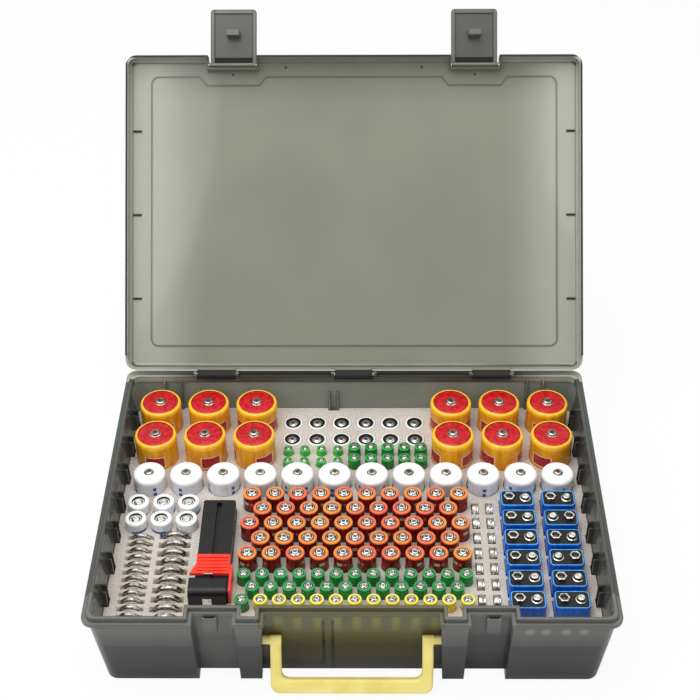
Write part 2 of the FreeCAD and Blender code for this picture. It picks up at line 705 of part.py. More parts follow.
# ---------------------------------------------------------------- where the cells stand

def row_of(count, pitch, middle):
    """X places of a row of cells about its middle."""
    return [middle + pitch * (n - (count - 1) / 2) for n in range(count)]


def from_back(name):
    return half_depth - S[name + "_back"]


def lines(columns, back, pitch, count):
    """The columns' places in the back row, and again in each row before it."""
    return [(x.value, (back - pitch * row).value) for row in range(count) for x in columns]


def rows_to_front(name, along):
    """How many rows of a group fit between its back row and the front margin."""
    front = S["front_margin"] - half_depth + S[name + along] / 2
    return fitting(from_back(name) - front, S[name + "_row"])


def staggered(count, pitch, back, row_pitch, row_count):
    """Rows of count cells, every other row one cell fewer and in the gaps of the others."""
    return [(x.value, (back - row_pitch * row).value) for row in range(row_count)
            for x in row_of(count - row % 2, pitch, grid_middle)]


# The middle grid fills the room between the tester and the button cells.
tester_x = S["tester_side"] - half_width
tester_right = tester_x + S["tester_width"] / 2 + S["slider_gap"] + S["slider_wall"]
button_columns = [half_width - S["button_side"] - S["button_pitch_x"],
                  half_width - S["button_side"]]
grid_left = tester_right + S["group_gap"]
grid_right = button_columns[0] - S["button_thickness"] / 2 - S["group_gap"]
grid_middle = (grid_left + grid_right) / 2
aa_count = fitting(grid_right - grid_left - S["aa_diameter"], S["aa_pitch"])
aaa_count = fitting(grid_right - grid_left - S["aaa_diameter"], S["aaa_pitch"])
aaa_rows = 3
aaa_back = S["aaa_front"] - half_depth + S["aaa_row"] * (aaa_rows - 1)
aa_rows = fitting(from_back("aa") - aaa_back - S["aa_to_aaa"], S["aa_row"])
aaa_all = staggered(aaa_count, S["aaa_pitch"], aaa_back, S["aaa_row"], aaa_rows)
yellow_from = int(len(aaa_all) * S["aaa_green_share"].value)

# The large cells fill the room between each side and the short cells in the middle.
short_columns = row_of(6, S["short_pitch"], Size.of(0))
d_outer = half_width - S["d_side"]
d_inner = short_columns[-1] + S["short_diameter"] / 2 + S["group_gap"] + S["d_diameter"] / 2
d_right = [d_outer - S["d_pitch"] * n for n in range(fitting(d_outer - d_inner, S["d_pitch"]))]
d_columns = [-x for x in d_right] + list(reversed(d_right))
c_count = fitting((half_width - S["c_side"]) * 2, S["c_pitch"])
c_columns = row_of(c_count, S["c_pitch"], Size.of(0))

slim_columns = [S["alarm_x"] - S["alarm_pitch"] * n for n in (4, 3, 2, 1)]
alarm_columns = [S["alarm_x"] + S["alarm_pitch"] * n for n in range(5)]
photo_columns = [S["photo_side"] - half_width + S["photo_pitch"] * n for n in range(3)]
block_columns = [half_width - S["block_side"] - S["block_pitch_x"], half_width - S["block_side"]]
coin_columns = [S["coin_side"] - half_width]
large_coin_columns = [S["large_coin_side"] - half_width]

PLACES = {
    "d": lines(d_columns, from_back("d"), S["d_row"], 2),
    "c": lines(c_columns, from_back("c"), S["c_pitch"], 1),
    "aa": staggered(aa_count, S["aa_pitch"], from_back("aa"), S["aa_row"], aa_rows),
    "aaa_green": aaa_all[:yellow_from],
    "aaa_yellow": aaa_all[yellow_from:],
    "short": lines(short_columns, from_back("short"), S["short_row"], 2),
    "slim": lines(slim_columns, from_back("slim"), S["slim_row"], 2),
    "alarm": lines(alarm_columns, from_back("alarm"), S["alarm_row"], 2),
    "photo": lines(photo_columns, from_back("photo"), S["photo_row"], 2),
    "block": lines(block_columns, from_back("block"), S["block_row"],
                   rows_to_front("block", "_depth")),
    "button": lines(button_columns, from_back("button"), S["button_row"],
                    rows_to_front("button", "_diameter")),
    "coin": lines(coin_columns, from_back("coin"), S["coin_row"],
                  rows_to_front("coin", "_thickness")),
    "large_coin": lines(large_coin_columns, from_back("large_coin"), S["large_coin_row"],
                        rows_to_front("large_coin", "_thickness")),
}
tester_back = from_back("tester")
tester_front = S["tester_front"] - half_depth

# Size names and pocket depth of each kind of round cell that stands upright.
ROUND = {
    "d": ("d", "pocket_depth"), "c": ("c", "pocket_depth"), "aa": ("aa", "pocket_depth"),
    "aaa_green": ("aaa", "pocket_depth"), "aaa_yellow": ("aaa", "pocket_depth"),
    "short": ("short", "shallow_pocket"), "photo": ("photo", "shallow_pocket"),
    "slim": ("slim", "slim_pocket"), "alarm": ("alarm", "mini_pocket"),
}


def foot(depth_name):
    """The height of a cell's underside in a pocket of the named depth."""
    return S["foam_top"] - S[depth_name] + S["cell_seat_gap"]


def copies(template, places):
    """The template's solid, which stands at the origin, once at each place."""
    shapes = []
    for x, y in places:
        shape = template.Shape.copy()
        shape.translate(FreeCAD.Vector(x, y, 0))
        shapes.append(shape)
    return shapes


# ---------------------------------------------------------------- foam insert

def bore(name, size, depth):
    return rod(name, "z", S[size + "_diameter"] / 2 + S["pocket_clearance"], depth + 1,
               0, 0, S["foam_top"] - depth)


def slot(name, width, length, depth):
    x = width / 2 + S["pocket_clearance"]
    y = length / 2 + S["pocket_clearance"]
    return box(name, -x, x, -y, y, S["foam_top"] - depth, S["foam_top"] + 1)


def sunk(size):
    """The pocket depth of a flat cell that rises out of the foam by its rise."""
    return S[size + "_diameter"] - S[size + "_rise"] + S["cell_seat_gap"]


def pockets():
    """Every pocket of the foam: round bores, square slots and the tester's trough."""
    cutters = [(bore("bore_" + kind, size, S[depth_name]), PLACES[kind])
               for kind, (size, depth_name) in ROUND.items()]
    cutters.append((slot("slot_block", S["block_width"], S["block_depth"], S["pocket_depth"]),
                    PLACES["block"]))
    cutters.append((slot("slot_button", S["button_thickness"], S["button_diameter"],
                         sunk("button")), PLACES["button"]))
    for size in ("coin", "large_coin"):
        cutters.append((slot("slot_" + size, S[size + "_diameter"], S[size + "_thickness"],
                             sunk(size)), PLACES[size]))
    trough = slot("slot_tester", S["tester_width"], tester_back - tester_front,
                  S["tester_height"] - S["tester_rise"] + S["cell_seat_gap"])
    cutters.append((trough, [(tester_x.value, ((tester_back + tester_front) / 2).value)]))
    doc.recompute()
    item = doc.addObject("Part::Feature", "foam_pockets")
    item.Shape = Part.makeCompound([s for tool, places in cutters for s in copies(tool, places)])
    return item


def foam_insert():
    top = S["foam_top"]
    block = drafted_room("foam_block", S["wall"] + S["foam_gap"], foam_low, top,
                         S["corner_radius"] - S["wall"])
    slots = fused("foam_rib_slots", all_ribs("_room", S["foam_gap"]))
    notched = cut("foam_notched", block, [slots])
    item = doc.addObject("Part::Cut", "foam_insert")
    item.Base = notched
    item.Tool = pockets()
    return item


finish(foam_insert(), "foam_insert")

# ---------------------------------------------------------------- cells

def repeated(name, template, places):
    """One sub-part made of the template's solid standing at each place."""
    doc.recompute()
    item = doc.addObject("Part::Feature", name)
    item.Shape = Part.makeCompound(copies(template, places))
    return finish(item, name)


def disc(name, radius, low, high, soft=None):
    """An upright round piece between two heights, its top edge softened if asked."""
    piece = rod(name, "z", radius, high - low, 0, 0, low)
    return rounded(name + "_soft", piece, soft, level_at(high)) if soft else piece


def capped_cells(kind, names, cap_share, cap_drop, nub_share, nub_height):
    """Jackets with a sunk cap in the top and a contact standing on it. The shares are of
    the cell's radius. names are those of the jackets, the caps (or none, where cap and
    contact are one piece) and the contacts."""
    edge_share, nub_edge_share = 0.09, 0.3
    jacket_name, cap_name, contact_name = names
    size, depth_name = ROUND[kind]
    radius = S[size + "_diameter"] / 2
    low = foot(depth_name)
    high = low + S[size + "_length"]
    shoulder = high - nub_height + cap_drop
    seat = shoulder - cap_drop
    cap_low = seat - S["cap_thickness"]
    cap_radius = radius * cap_share
    sleeve = disc(kind + "_sleeve", radius, low, shoulder, radius * edge_share)
    well = disc(kind + "_well", cap_radius, cap_low, shoulder + 1)
    repeated(jacket_name, cut(kind + "_jacket", sleeve, [well]), PLACES[kind])
    cap = disc(kind + "_cap", cap_radius - S["cap_clearance"], cap_low, seat)
    nub_low = seat if cap_name else cap_low
    nub = disc(kind + "_nub", radius * nub_share, nub_low, high, Size.of(nub_height * nub_edge_share))
    if cap_name:
        repeated(cap_name, cap, PLACES[kind])
        repeated(contact_name, nub, PLACES[kind])
    else:
        repeated(contact_name, fused(kind + "_contact", [cap, nub]), PLACES[kind])


def cell_names(start, with_cap):
    return (start + "_jackets", start + "_tops" if with_cap else "", start + "_terminals")


capped_cells("d", cell_names("d_cell", True), 0.865, 0.7, 0.21, 2.7)
capped_cells("c", cell_names("c_cell", True), 0.86, 0.3, 0.25, 1.6)
capped_cells("aa", cell_names("aa_cell", False), 0.62, 0.5, 0.37, 1.7)
capped_cells("aaa_green", cell_names("aaa_green", False), 0.64, 0.4, 0.36, 1.2)
capped_cells("aaa_yellow", cell_names("aaa_yellow", False), 0.64, 0.4, 0.36, 1.2)
capped_cells("short", cell_names("short_cell", True), 0.8, 0.4, 0.38, 1.0)
capped_cells("photo", cell_names("photo_cell", False), 0.6, 1.6, 0.36, 1.3)
capped_cells("slim", cell_names("slim_cell", False), 0.62, 0.3, 0.36, 1.0)
capped_cells("alarm", cell_names("alarm_cell", False), 0.62, 0.4, 0.36, 1.3)


def block_plate(name, inset, low, high, corner):
    """An upright rectangular piece of the block cell's plan, moved in by inset."""
    x = S["block_width"] / 2 - inset
    y = S["block_depth"] / 2 - inset
    return rounded(name + "_corners", box(name, -x, x, -y, y, low, high), corner,
                   lambda a, b: b.x - a.x < 0.01 and b.y - a.y < 0.01)


def block_cells():
    """Rectangular cells with a snap stud and a socket; some stand turned about."""
    low = foot("pocket_depth")
    shoulder = low + S["block_length"] - S["block_terminal_height"]
    seat = shoulder - S["block_top_drop"]
    plate_low = seat - S["cap_thickness"]
    rim = S["block_rim"]
    can = block_plate("block_can", Size.of(0), low, shoulder, S["block_corner"])
    well = block_plate("block_well", rim, plate_low, shoulder + 1, S["block_corner"] - rim / 2)
    repeated("block_cell_cans", cut("block_jacket", can, [well]), PLACES["block"])
    plate = block_plate("block_top", rim + S["cap_clearance"], plate_low, seat,
                        S["block_corner"] - rim / 2)
    repeated("block_cell_tops", plate, PLACES["block"])
    tip = low + S["block_length"]
    stud = disc("block_stud", S["stud_radius"], seat, tip, Size.of(0.5))
    nut = doc.addObject("Part::Prism", "block_nut")
    nut.Polygon = 6
    bind(nut, "Circumradius", S["socket_radius"])
    bind(nut, "Height", tip - seat)
    place(nut, 0, 0, seat)
    socket = cut("block_socket", nut, [disc("block_socket_bore", S["stud_radius"], seat + 0.8,
                                            tip + 1)])
    shift = S["block_terminal_pitch"].value / 2
    turned_rows = (1, 3)
    studs, sockets = [], []
    for number, (x, y) in enumerate(PLACES["block"]):
        column, row = number % 2, number // 2
        way = -1 if column == 1 and row in turned_rows else 1
        studs.append((x + shift * way, y))
        sockets.append((x - shift * way, y))
    repeated("block_cell_studs", stud, studs)
    repeated("block_cell_sockets", socket, sockets)


block_cells()


def edge_cells(name, size, axis, places):
    """Flat round cells that stand on edge in their slots."""
    radius = S[size + "_diameter"] / 2
    thickness = S[size + "_thickness"]
    middle = S["foam_top"] + S[size + "_rise"] - radius
    start = -thickness / 2
    coin = rod(size + "_disc", axis, radius, thickness, start if axis == "x" else 0,
               start if axis == "y" else 0, middle)
    coin = rounded(size + "_edges", coin, S["coin_round"],
                   lambda a, b: min(b.x - a.x, b.y - a.y) < 0.01 and b.z - a.z > 5
                   and max(b.x - a.x, b.y - a.y) > 5)
    repeated(name, coin, places)


edge_cells("button_cells", "button", "x", PLACES["button"])
edge_cells("coin_cells_small", "coin", "y", PLACES["coin"])
edge_cells("coin_cells_large", "large_coin", "y", PLACES["large_coin"])

# ---------------------------------------------------------------- tester

tester_low = S["foam_top"] + S["tester_rise"] - S["tester_height"]
tester_top = S["foam_top"] + S["tester_rise"]
tester_half = S["tester_width"] / 2
slider_low = tester_top + S["slider_gap"]
slider_top = slider_low + S["slider_height"]
slider_back = tester_front + S["slider_travel"]
slider_front = slider_back - S["slider_length"]
slider_flare_y = slider_back - S["slider_length"] / 2
jaw_back = slider_front - S["jaw_gap"]
jaw_front = tester_front - S["slider_gap"] - S["jaw_apron"]
jaw_right = tester_x + tester_half - S["jaw_inset"]
jaw_left = jaw_right - S["jaw_width"]
jaw_low = S["foam_top"] + S["jaw_above_foam"]
jaw_middle = (jaw_left + jaw_right) / 2


def tester_body():
    """A long bar with a groove along its top, in which the slider's keel runs."""
    x = tester_x
    bar = box("tester_bar", x - tester_half, x + tester_half, tester_front, tester_back,
              tester_low, tester_top)
    bar = rounded("tester_bar_corners", bar, S["tester_round"], upright)
    groove = box("tester_groove_cut", x - S["tester_groove"] / 2, x + S["tester_groove"] / 2,
                 tester_front + S["groove_end"], tester_back - S["groove_end"],
                 tester_top - S["groove_depth"], tester_top + 1)
    return cut("tester_body", bar, [groove])


finish(tester_body(), "tester_body")


def tester_slider():
    """A ribbed thumb piece that flares to the jaw's width, with a cheek beside the jaw."""
    x = tester_x
    right = x + tester_half
    left = x - tester_half
    back = box("slider_back", left, right, slider_flare_y, slider_back, slider_low, slider_top)
    flare = tapered("slider_flare", (jaw_left, right, slider_low, slider_top),
                    (left, right, slider_low, slider_top), slider_front, slider_flare_y)
    half = S["tester_groove"] / 2 - S["keel_clearance"]
    keel = box("slider_keel", x - half, x + half, slider_front + S["keel_setback"], slider_back,
               tester_top - S["groove_depth"] + S["keel_clearance"], slider_low + 1)
    cheek_left = right + S["slider_gap"]
    cheek = box("slider_cheek", cheek_left, cheek_left + S["slider_wall"],
                jaw_front + S["jaw_apron"], slider_flare_y, jaw_low, slider_top - 1)
    bridge = box("slider_bridge", right - 1, cheek_left + 1, slider_front, slider_flare_y,
                 slider_low, slider_top - 1)
    solids = [back, flare, keel, cheek, bridge]
    count = int(S["slider_ribs"].value)
    pitch = S["slider_length"] / (count + 1)
    for number in range(count):
        y = slider_front + pitch * (number + 1)
        solids.append(box("thumb_rib%d" % number, left + S["thumb_rib_inset"],
                          right - S["thumb_rib_inset"],
                          y - S["rib_thickness"] / 2, y + S["rib_thickness"] / 2,
                          slider_top - 0.5, slider_top + S["thumb_rib_height"]))
    return fused("tester_slider", solids)


finish(tester_slider(), "tester_slider")


def tester_jaw():
    """The rounded block in front of the slider, with an apron down the end of the bar."""
    block = box("jaw_block", jaw_left, jaw_right, jaw_front, jaw_back, jaw_low, slider_top)
    block = rounded("jaw_round", block, S["jaw_round"],
                    lambda a, b: b.x - a.x > 5 and a.z > slider_low.value + 1)
    under = box("jaw_under", jaw_left - 1, jaw_right + 1, jaw_front + S["jaw_apron"],
                jaw_back + 1, jaw_low - 1, slider_low)
    return cut("tester_jaw", block, [under])


finish(tester_jaw(), "tester_jaw")


def tester_contacts():
    """Two steel strips: one on the jaw's front, one between jaw and slider."""
    half = S["contact_width"] / 2
    thick = S["contact_thickness"]
    front = box("contact_front", jaw_middle - half, jaw_middle + half, jaw_front - thick,
                jaw_front, jaw_low + 1, jaw_low + 1 + S["contact_height"])
    middle = (jaw_back + slider_front) / 2
    back = box("contact_back", jaw_middle - half, jaw_middle + half, middle - thick / 2,
               middle + thick / 2, slider_low, slider_top + 0.4)
    return fused("tester_contacts", [front, back])


finish(tester_contacts(), "tester_contacts")

# ---------------------------------------------------------------- checks and export

doc.recompute()
for item in doc.Objects:
    if "Invalid" in item.State or "Error" in item.State:
        raise RuntimeError("%s did not build: %s" % (item.Name, item.State))
for item in parts:
    shape = item.Shape
    if shape.isNull() or not shape.isValid() or not shape.Solids:
        raise RuntimeError("%s has no valid solid" % item.Label)
for item in parts:
    item.Shape.exportStep(os.path.join("parts", item.Label + ".step"))
    print("%-24s %3d solids %10.0f mm3" % (item.Label, len(item.Shape.Solids), item.Shape.Volume))
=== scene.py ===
# %% [markdown]
# # Dressing a battery carrying case
# The frame that we load holds the case as plain solids: a tray, a lid on hinges, two latches,
# a handle, a block of foam and some two hundred cells. Here each solid gets its finish, and
# the cells, which carry most of the small detail, are turned afresh from profiles.
# Everything is in metres and stays where the solids are.

# %% Load the frame
import math
import bmesh
import bpy
from mathutils import Matrix, Vector


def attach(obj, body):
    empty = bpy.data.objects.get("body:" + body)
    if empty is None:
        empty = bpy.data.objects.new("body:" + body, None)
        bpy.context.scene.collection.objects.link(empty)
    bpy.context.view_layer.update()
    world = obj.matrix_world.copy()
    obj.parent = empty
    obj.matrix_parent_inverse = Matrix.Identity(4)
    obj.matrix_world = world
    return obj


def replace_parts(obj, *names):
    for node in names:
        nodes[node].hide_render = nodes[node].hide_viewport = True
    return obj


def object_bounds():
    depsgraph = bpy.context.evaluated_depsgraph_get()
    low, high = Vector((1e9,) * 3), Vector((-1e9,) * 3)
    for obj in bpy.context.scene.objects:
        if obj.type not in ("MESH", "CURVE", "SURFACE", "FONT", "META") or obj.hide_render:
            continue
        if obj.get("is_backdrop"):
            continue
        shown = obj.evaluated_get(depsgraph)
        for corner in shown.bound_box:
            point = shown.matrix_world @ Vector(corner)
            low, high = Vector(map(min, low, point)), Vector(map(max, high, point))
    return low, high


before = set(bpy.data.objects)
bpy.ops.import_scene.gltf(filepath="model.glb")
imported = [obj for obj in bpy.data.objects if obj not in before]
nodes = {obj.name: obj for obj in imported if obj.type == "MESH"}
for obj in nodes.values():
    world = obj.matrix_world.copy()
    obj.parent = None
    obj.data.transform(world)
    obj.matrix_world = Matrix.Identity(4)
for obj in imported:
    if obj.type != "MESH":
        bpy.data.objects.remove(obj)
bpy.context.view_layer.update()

# %% [markdown]
# ## Shader maths that reads like maths
# A finish is worked out from noise, bands and distances. One could drag each Math node into
# the shader editor by hand, but a formula is easier to read and to change. Wrapping a node's
# output in a small class lets us write `1 - mask * 0.4`, and each operator adds its own Math
# node. All other nodes come from one method, which sets the settings first and the sockets
# after.


# %% The socket class
class Signal:
    """A number that varies over a surface, with the usual operators."""

    def __init__(self, paint, socket):
        self.paint, self.socket = paint, socket

    def maths(self, operation, first, second=0.0):
        return self.paint.add("ShaderNodeMath", {"operation": operation}, {0: first, 1: second})

    def __add__(self, other):
        return self.maths("ADD", self, other)

    def __sub__(self, other):
        return self.maths("SUBTRACT", self, other)

    def __mul__(self, other):
        return self.maths("MULTIPLY", self, other)

    def __radd__(self, other):
        return self.maths("ADD", other, self)

    def __rsub__(self, other):
        return self.maths("SUBTRACT", other, self)

    def __rmul__(self, other):
        return self.maths("MULTIPLY", other, self)

    def above(self, level):
        return self.maths("GREATER_THAN", self, level)

    def below(self, level):
        return self.maths("LESS_THAN", self, level)

    def ramp(self, low, high, start=0.0, end=1.0):
        """Goes smoothly from start to end while the signal goes from low to high."""
        return self.paint.add("ShaderNodeMapRange", {"interpolation_type": "SMOOTHSTEP"},
                              {0: self, 1: low, 2: high, 3: start, 4: end})


# %% [markdown]
# ## One class for a material
# Most finishes here need the same few things, so they are made once. `Paint` starts with a
# Principled shader. `add` makes any node, `noise` and `cells` give two textures sized in
# metres of real surface, and `tint` blends two colours. Textures are placed by the Object
# coordinates, which ride with a piece when its joint moves.


# %% The paint class
def linear(code):
    """A colour written as a web code, as the linear numbers that a shader takes."""
    parts = [int(code[i:i + 2], 16) / 255 for i in (1, 3, 5)]
    return tuple(c / 12.92 if c < 0.04045 else ((c + 0.055) / 1.055) ** 2.4 for c in parts) + (1.0,)


class Graph:
    """A node tree that is written to through one method."""

    def __init__(self, tree):
        self.tree = tree

    def add(self, kind, settings=None, sockets=None, out=0):
        node = self.tree.nodes.new(kind)
        for key, value in (settings or {}).items():
            setattr(node, key, value)
        for key, value in (sockets or {}).items():
            self.feed(node.inputs[key], value)
        return Signal(self, node.outputs[out])

    def feed(self, socket, value):
        if isinstance(value, Signal):
            self.tree.links.new(value.socket, socket)
        else:
            socket.default_value = value


class Paint(Graph):
    def __init__(self, name, **fixed):
        self.material = bpy.data.materials.new(name)
        self.material.use_nodes = True
        super().__init__(self.material.node_tree)
        self.shader = self.tree.nodes["Principled BSDF"]
        for socket, value in fixed.items():
            self.shader.inputs[socket.replace("_", " ")].default_value = value

    def set(self, **sockets):
        for name, value in sockets.items():
            self.feed(self.shader.inputs[name.replace("_", " ")], value)
        return self

    def place(self):
        """The surface point in the case's own frame, in metres, before any joint moves it."""
        return self.add("ShaderNodeTexCoord", out="Object")

    def axis(self, name, source=None):
        return self.add("ShaderNodeSeparateXYZ", {}, {0: source or self.place()}, out=name)

    def wrap(self):
        """The turned pieces carry turns round the axis and metres of height in their UV map."""
        return self.add("ShaderNodeUVMap", {"uv_map": "wrap"})

    def noise(self, size, detail=3.0, rough=0.5, stretch=(1, 1, 1)):
        point = self.add("ShaderNodeVectorMath", {"operation": "MULTIPLY"},
                         {0: self.place(), 1: stretch})
        return self.add("ShaderNodeTexNoise", {}, {"Vector": point, "Scale": 1 / size,
                                                   "Detail": detail, "Roughness": rough})

    def cells(self, size):
        return self.add("ShaderNodeTexVoronoi", {}, {"Vector": self.place(), "Scale": 1 / size},
                        out="Distance")

    def tint(self, amount, one, other):
        return self.add("ShaderNodeMix", {"data_type": "RGBA"}, {0: amount, 6: one, 7: other},
                        out=2)

    def bump(self, height, distance, strength=1.0):
        self.set(Normal=self.add("ShaderNodeBump", {}, {"Height": height, "Distance": distance,
                                                        "Strength": strength}))
        return self


# %% Masks
def inside(signal, low, high):
    """1 where the signal lies between two levels."""
    return signal.above(low) * signal.below(high)


def either(one, other):
    """1 where at least one of two masks is."""
    return one.maths("MAXIMUM", one, other)


def off_from(signal, place):
    """The distance to a place along one axis, to either side."""
    off = signal - place
    return off.maths("ABSOLUTE", off)


# %% [markdown]
# ## The camera
# The camera stands in front of the case and looks down on it, square to the open lid. Its
# lens is given in pixels of focal length, which makes it easy to work out by hand where a
# point of the case falls in the frame.

# %% Camera
CAMERA_PLACE = Vector((0.01046, -0.82974, 0.8898))
CAMERA_PITCH, CAMERA_YAW, CAMERA_ROLL = (math.radians(a) for a in (39.203, 0.802, -0.528))
FOCAL_PIXELS, FRAME_PIXELS, SENSOR = 1484.8, 700, 36.0

ahead = Vector((-math.sin(CAMERA_YAW) * math.cos(CAMERA_PITCH),
                math.cos(CAMERA_YAW) * math.cos(CAMERA_PITCH), -math.sin(CAMERA_PITCH)))
level_right = Vector((math.cos(CAMERA_YAW), math.sin(CAMERA_YAW), 0))
level_up = level_right.cross(ahead)
right = level_right * math.cos(CAMERA_ROLL) + level_up * math.sin(CAMERA_ROLL)
up = level_up * math.cos(CAMERA_ROLL) - level_right * math.sin(CAMERA_ROLL)
lens = bpy.data.cameras.new("camera")
lens.sensor_width = SENSOR
lens.lens = FOCAL_PIXELS * SENSOR / FRAME_PIXELS
camera = bpy.data.objects.new("camera", lens)
camera.matrix_world = Matrix.Translation(CAMERA_PLACE) @ Matrix((right, up, -ahead)).transposed().to_4x4()
bpy.context.scene.collection.objects.link(camera)
bpy.context.scene.camera = camera
print("lens", round(lens.lens, 2), "mm")


# %% [markdown]
# ## The lamps
# The light is that of a product studio: a wide soft box overhead and a large fill on each
# side. A single sun would give hard black shadows between two hundred cells. Two discs stand
# beside the camera. The lid is glossy and square to the view, so it mirrors them as the pale
# curves that such a lid shows.

# %% Lamps
AIM = Vector((0, 0.05, 0.05))


def soft_box(name, place, size, watts):
    lamp = bpy.data.lights.new(name, "AREA")
    lamp.shape, lamp.size, lamp.size_y = "RECTANGLE", size[0], size[1]
    lamp.energy = watts
    holder = bpy.data.objects.new(name, lamp)
    holder.location = place
    holder.rotation_euler = (AIM - Vector(place)).to_track_quat("-Z", "Y").to_euler()
    bpy.context.scene.collection.objects.link(holder)


def round_lamp(name, across, above, radius, watts):
    """A disc beside the camera and square to the lid, whose gloss shows it as a pale curve."""
    lamp = bpy.data.lights.new(name, "AREA")
    lamp.shape, lamp.size = "DISK", radius * 2
    lamp.energy = watts
    holder = bpy.data.objects.new(name, lamp)
    turn = camera.matrix_world.to_3x3().to_4x4()
    holder.matrix_world = Matrix.Translation(CAMERA_PLACE + right * across + up * above) @ turn
    bpy.context.scene.collection.objects.link(holder)


soft_box("overhead", (-0.15, 0.05, 1.6), (1.2, 0.8), 13.5)
soft_box("left_fill", (-1.3, 0.0, 0.7), (0.8, 0.8), 3)
soft_box("right_fill", (1.3, 0.1, 0.7), (0.8, 0.8), 2)
round_lamp("left_disc", -0.905, 0.453, 0.649, 8.2)
round_lamp("right_disc", 0.640, 0.400, 0.336, 2.6)
print("lamps", [lamp.name for lamp in bpy.data.lights])

# %% [markdown]
# ## The world and the floor
# A pale world fills the shadows. It is white to the camera and to mirror rays only, so the
# steel mirrors white, and yet that white adds no light to the case. The floor glows for the
# camera alone. Its Mix Shader leaves a little of a plain floor in what the camera sees, and
# with it the case's soft shadow.

# %% World
SKY_LIGHT, SKY_SEEN = 0.42, 1.0
world = bpy.data.worlds.new("studio")
world.use_nodes = True
bpy.context.scene.world = world
bpy.context.scene.view_settings.view_transform = "Standard"
studio = Graph(world.node_tree)
rays = [studio.add("ShaderNodeLightPath", out=out)
        for out in ("Is Camera Ray", "Is Glossy Ray", "Is Transmission Ray")]
seen = either(rays[0], either(rays[1], rays[2]))
sky = world.node_tree.nodes["Background"]
sky.inputs["Color"].default_value = (1, 1, 1, 1)
studio.feed(sky.inputs["Strength"], seen * (SKY_SEEN - SKY_LIGHT) + SKY_LIGHT)
print("world lights at", SKY_LIGHT)

# %% Floor
FLOOR_HALF, FLOOR_DROP, FLOOR_GLOW = 1.5, 0.0005, 0.93
floor_mesh = bpy.data.meshes.new("floor")
floor_mesh.from_pydata([(x * FLOOR_HALF, y * FLOOR_HALF, -FLOOR_DROP)
                        for x, y in ((-1, -1), (1, -1), (1, 1), (-1, 1))], [], [(0, 1, 2, 3)])
floor = bpy.data.objects.new("floor", floor_mesh)
bpy.context.scene.collection.objects.link(floor)
floor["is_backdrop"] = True
backdrop = Paint("floor_white", Base_Color=(0.9, 0.9, 0.9, 1), Roughness=0.9)
to_camera = backdrop.add("ShaderNodeLightPath", out="Is Camera Ray")
glow = backdrop.add("ShaderNodeEmission", {}, {"Color": (1, 1, 1, 1), "Strength": 1.0})
plain = Signal(backdrop, backdrop.shader.outputs[0])
mixed = backdrop.add("ShaderNodeMixShader", {}, {0: to_camera * FLOOR_GLOW, 1: plain, 2: glow})
backdrop.feed(backdrop.tree.nodes["Material Output"].inputs[0], mixed)
floor_mesh.materials.append(backdrop.material)
print("floor", FLOOR_HALF * 2, "m wide")

# %% [markdown]
# ## The smoky plastic of the case
# Tray, lid and latches are moulded in a grey-green plastic that lets some light through, so
# one can make out the foam behind the front wall. True refraction would show this too, but
# it is slow and noisy with two hundred cells behind it. The shader's alpha does it cheaply,
# and it also survives the export. The colour wanders slowly where the melt flowed, and the
# gloss breaks up in fine scuffs. A Bevel node bends the normal near an edge, and the angle
# between it and the true normal tells us where the edges are.


# %% Smoky plastic
COAT, EDGE_WIDTH, EDGE_COLOUR = 0.1, 0.0016, "#0c0e0c"
SOLID_ALPHA, SOLID_ROUGHNESS = 0.99, 0.6


def smoky(name, alpha, gloss, wave, edge_dark, colours):
    """colours is a function that takes the paint and gives its colour and, where parts lie
    one behind another, a mask that is 1 there: less light comes through and the gloss goes.
    Along its edges the colour is darkened with painted shade, where one sees further through it."""
    paint = Paint(name, Alpha=alpha, Coat_Weight=COAT, Coat_Roughness=0.05,
                  Specular_IOR_Level=0.4)
    flow = paint.noise(0.09, 2.0, stretch=(1, 0.45, 1))
    scuffed = paint.noise(0.006, 4.0, 0.6).ramp(0.3, 0.8, gloss, gloss + 0.06)
    soft = paint.add("ShaderNodeBevel", {"samples": 4}, {"Radius": EDGE_WIDTH})
    true = paint.add("ShaderNodeNewGeometry", out="True Normal")
    turned = paint.add("ShaderNodeVectorMath", {"operation": "DOT_PRODUCT"}, {0: soft, 1: true},
                       out="Value")
    # Painted shade: the colour darkens towards EDGE_COLOUR near every edge.
    edge = turned.ramp(0.82, 0.998, edge_dark, 0.0)
    colour, solid = colours(paint, flow.ramp(0.35, 0.65))
    paint.set(Base_Color=paint.tint(edge, colour, linear(EDGE_COLOUR)), Roughness=scuffed)
    if solid is not None:
        paint.set(Alpha=solid.ramp(0.0, 1.0, alpha, SOLID_ALPHA),
                  Coat_Weight=solid.ramp(0.0, 1.0, COAT, 0.0),
                  Roughness=scuffed + solid * SOLID_ROUGHNESS)
    return paint.bump(paint.noise(0.03, 2.0), wave, 0.2)


# %% [markdown]
# ## The tray's colours
# The tray is one solid, yet its walls look different from place to place, and much of it is
# painted light and shade: painted shade where the foam fills it, painted light and shade over
# the foam, on the rim and on the inner walls, and olive with painted glints where the yellow
# cells shine through behind the handle. One could cut the mesh into materials. Masks made from
# the coordinates do it without a cut, and their edges can be soft.

# %% Places on the tray
FRONT_Y, FRONT_DRAFTED_Y, WALL_TURNS_IN = -0.1290, -0.1262, -0.1165
BACK_Y, INNER_SIDE, INNER_BACK, RIM_INSIDE = 0.1330, 0.1795, 0.1195, 0.1885
RIM_LOW, FOAM_TOP = 0.0700, 0.0430
RECESS_HALF, POCKET_SIDES = 0.0662, (0.0800, 0.1270)
CELL_PITCH, SHINE_FROM, SHINE_FULL = 0.0142, 0.0460, 0.0600
STRUT_X, STRUT_TOP, STRUT_SIDES = -0.0174, 0.0620, (0.0022, 0.0046)
PAINTED_GLINTS, GLINT_HEIGHT, GLINT_SIZE = (0.1276, 0.1391, 0.1534, 0.1663), 0.0620, 0.0048
print("foam top", FOAM_TOP, "rim from", RIM_LOW)


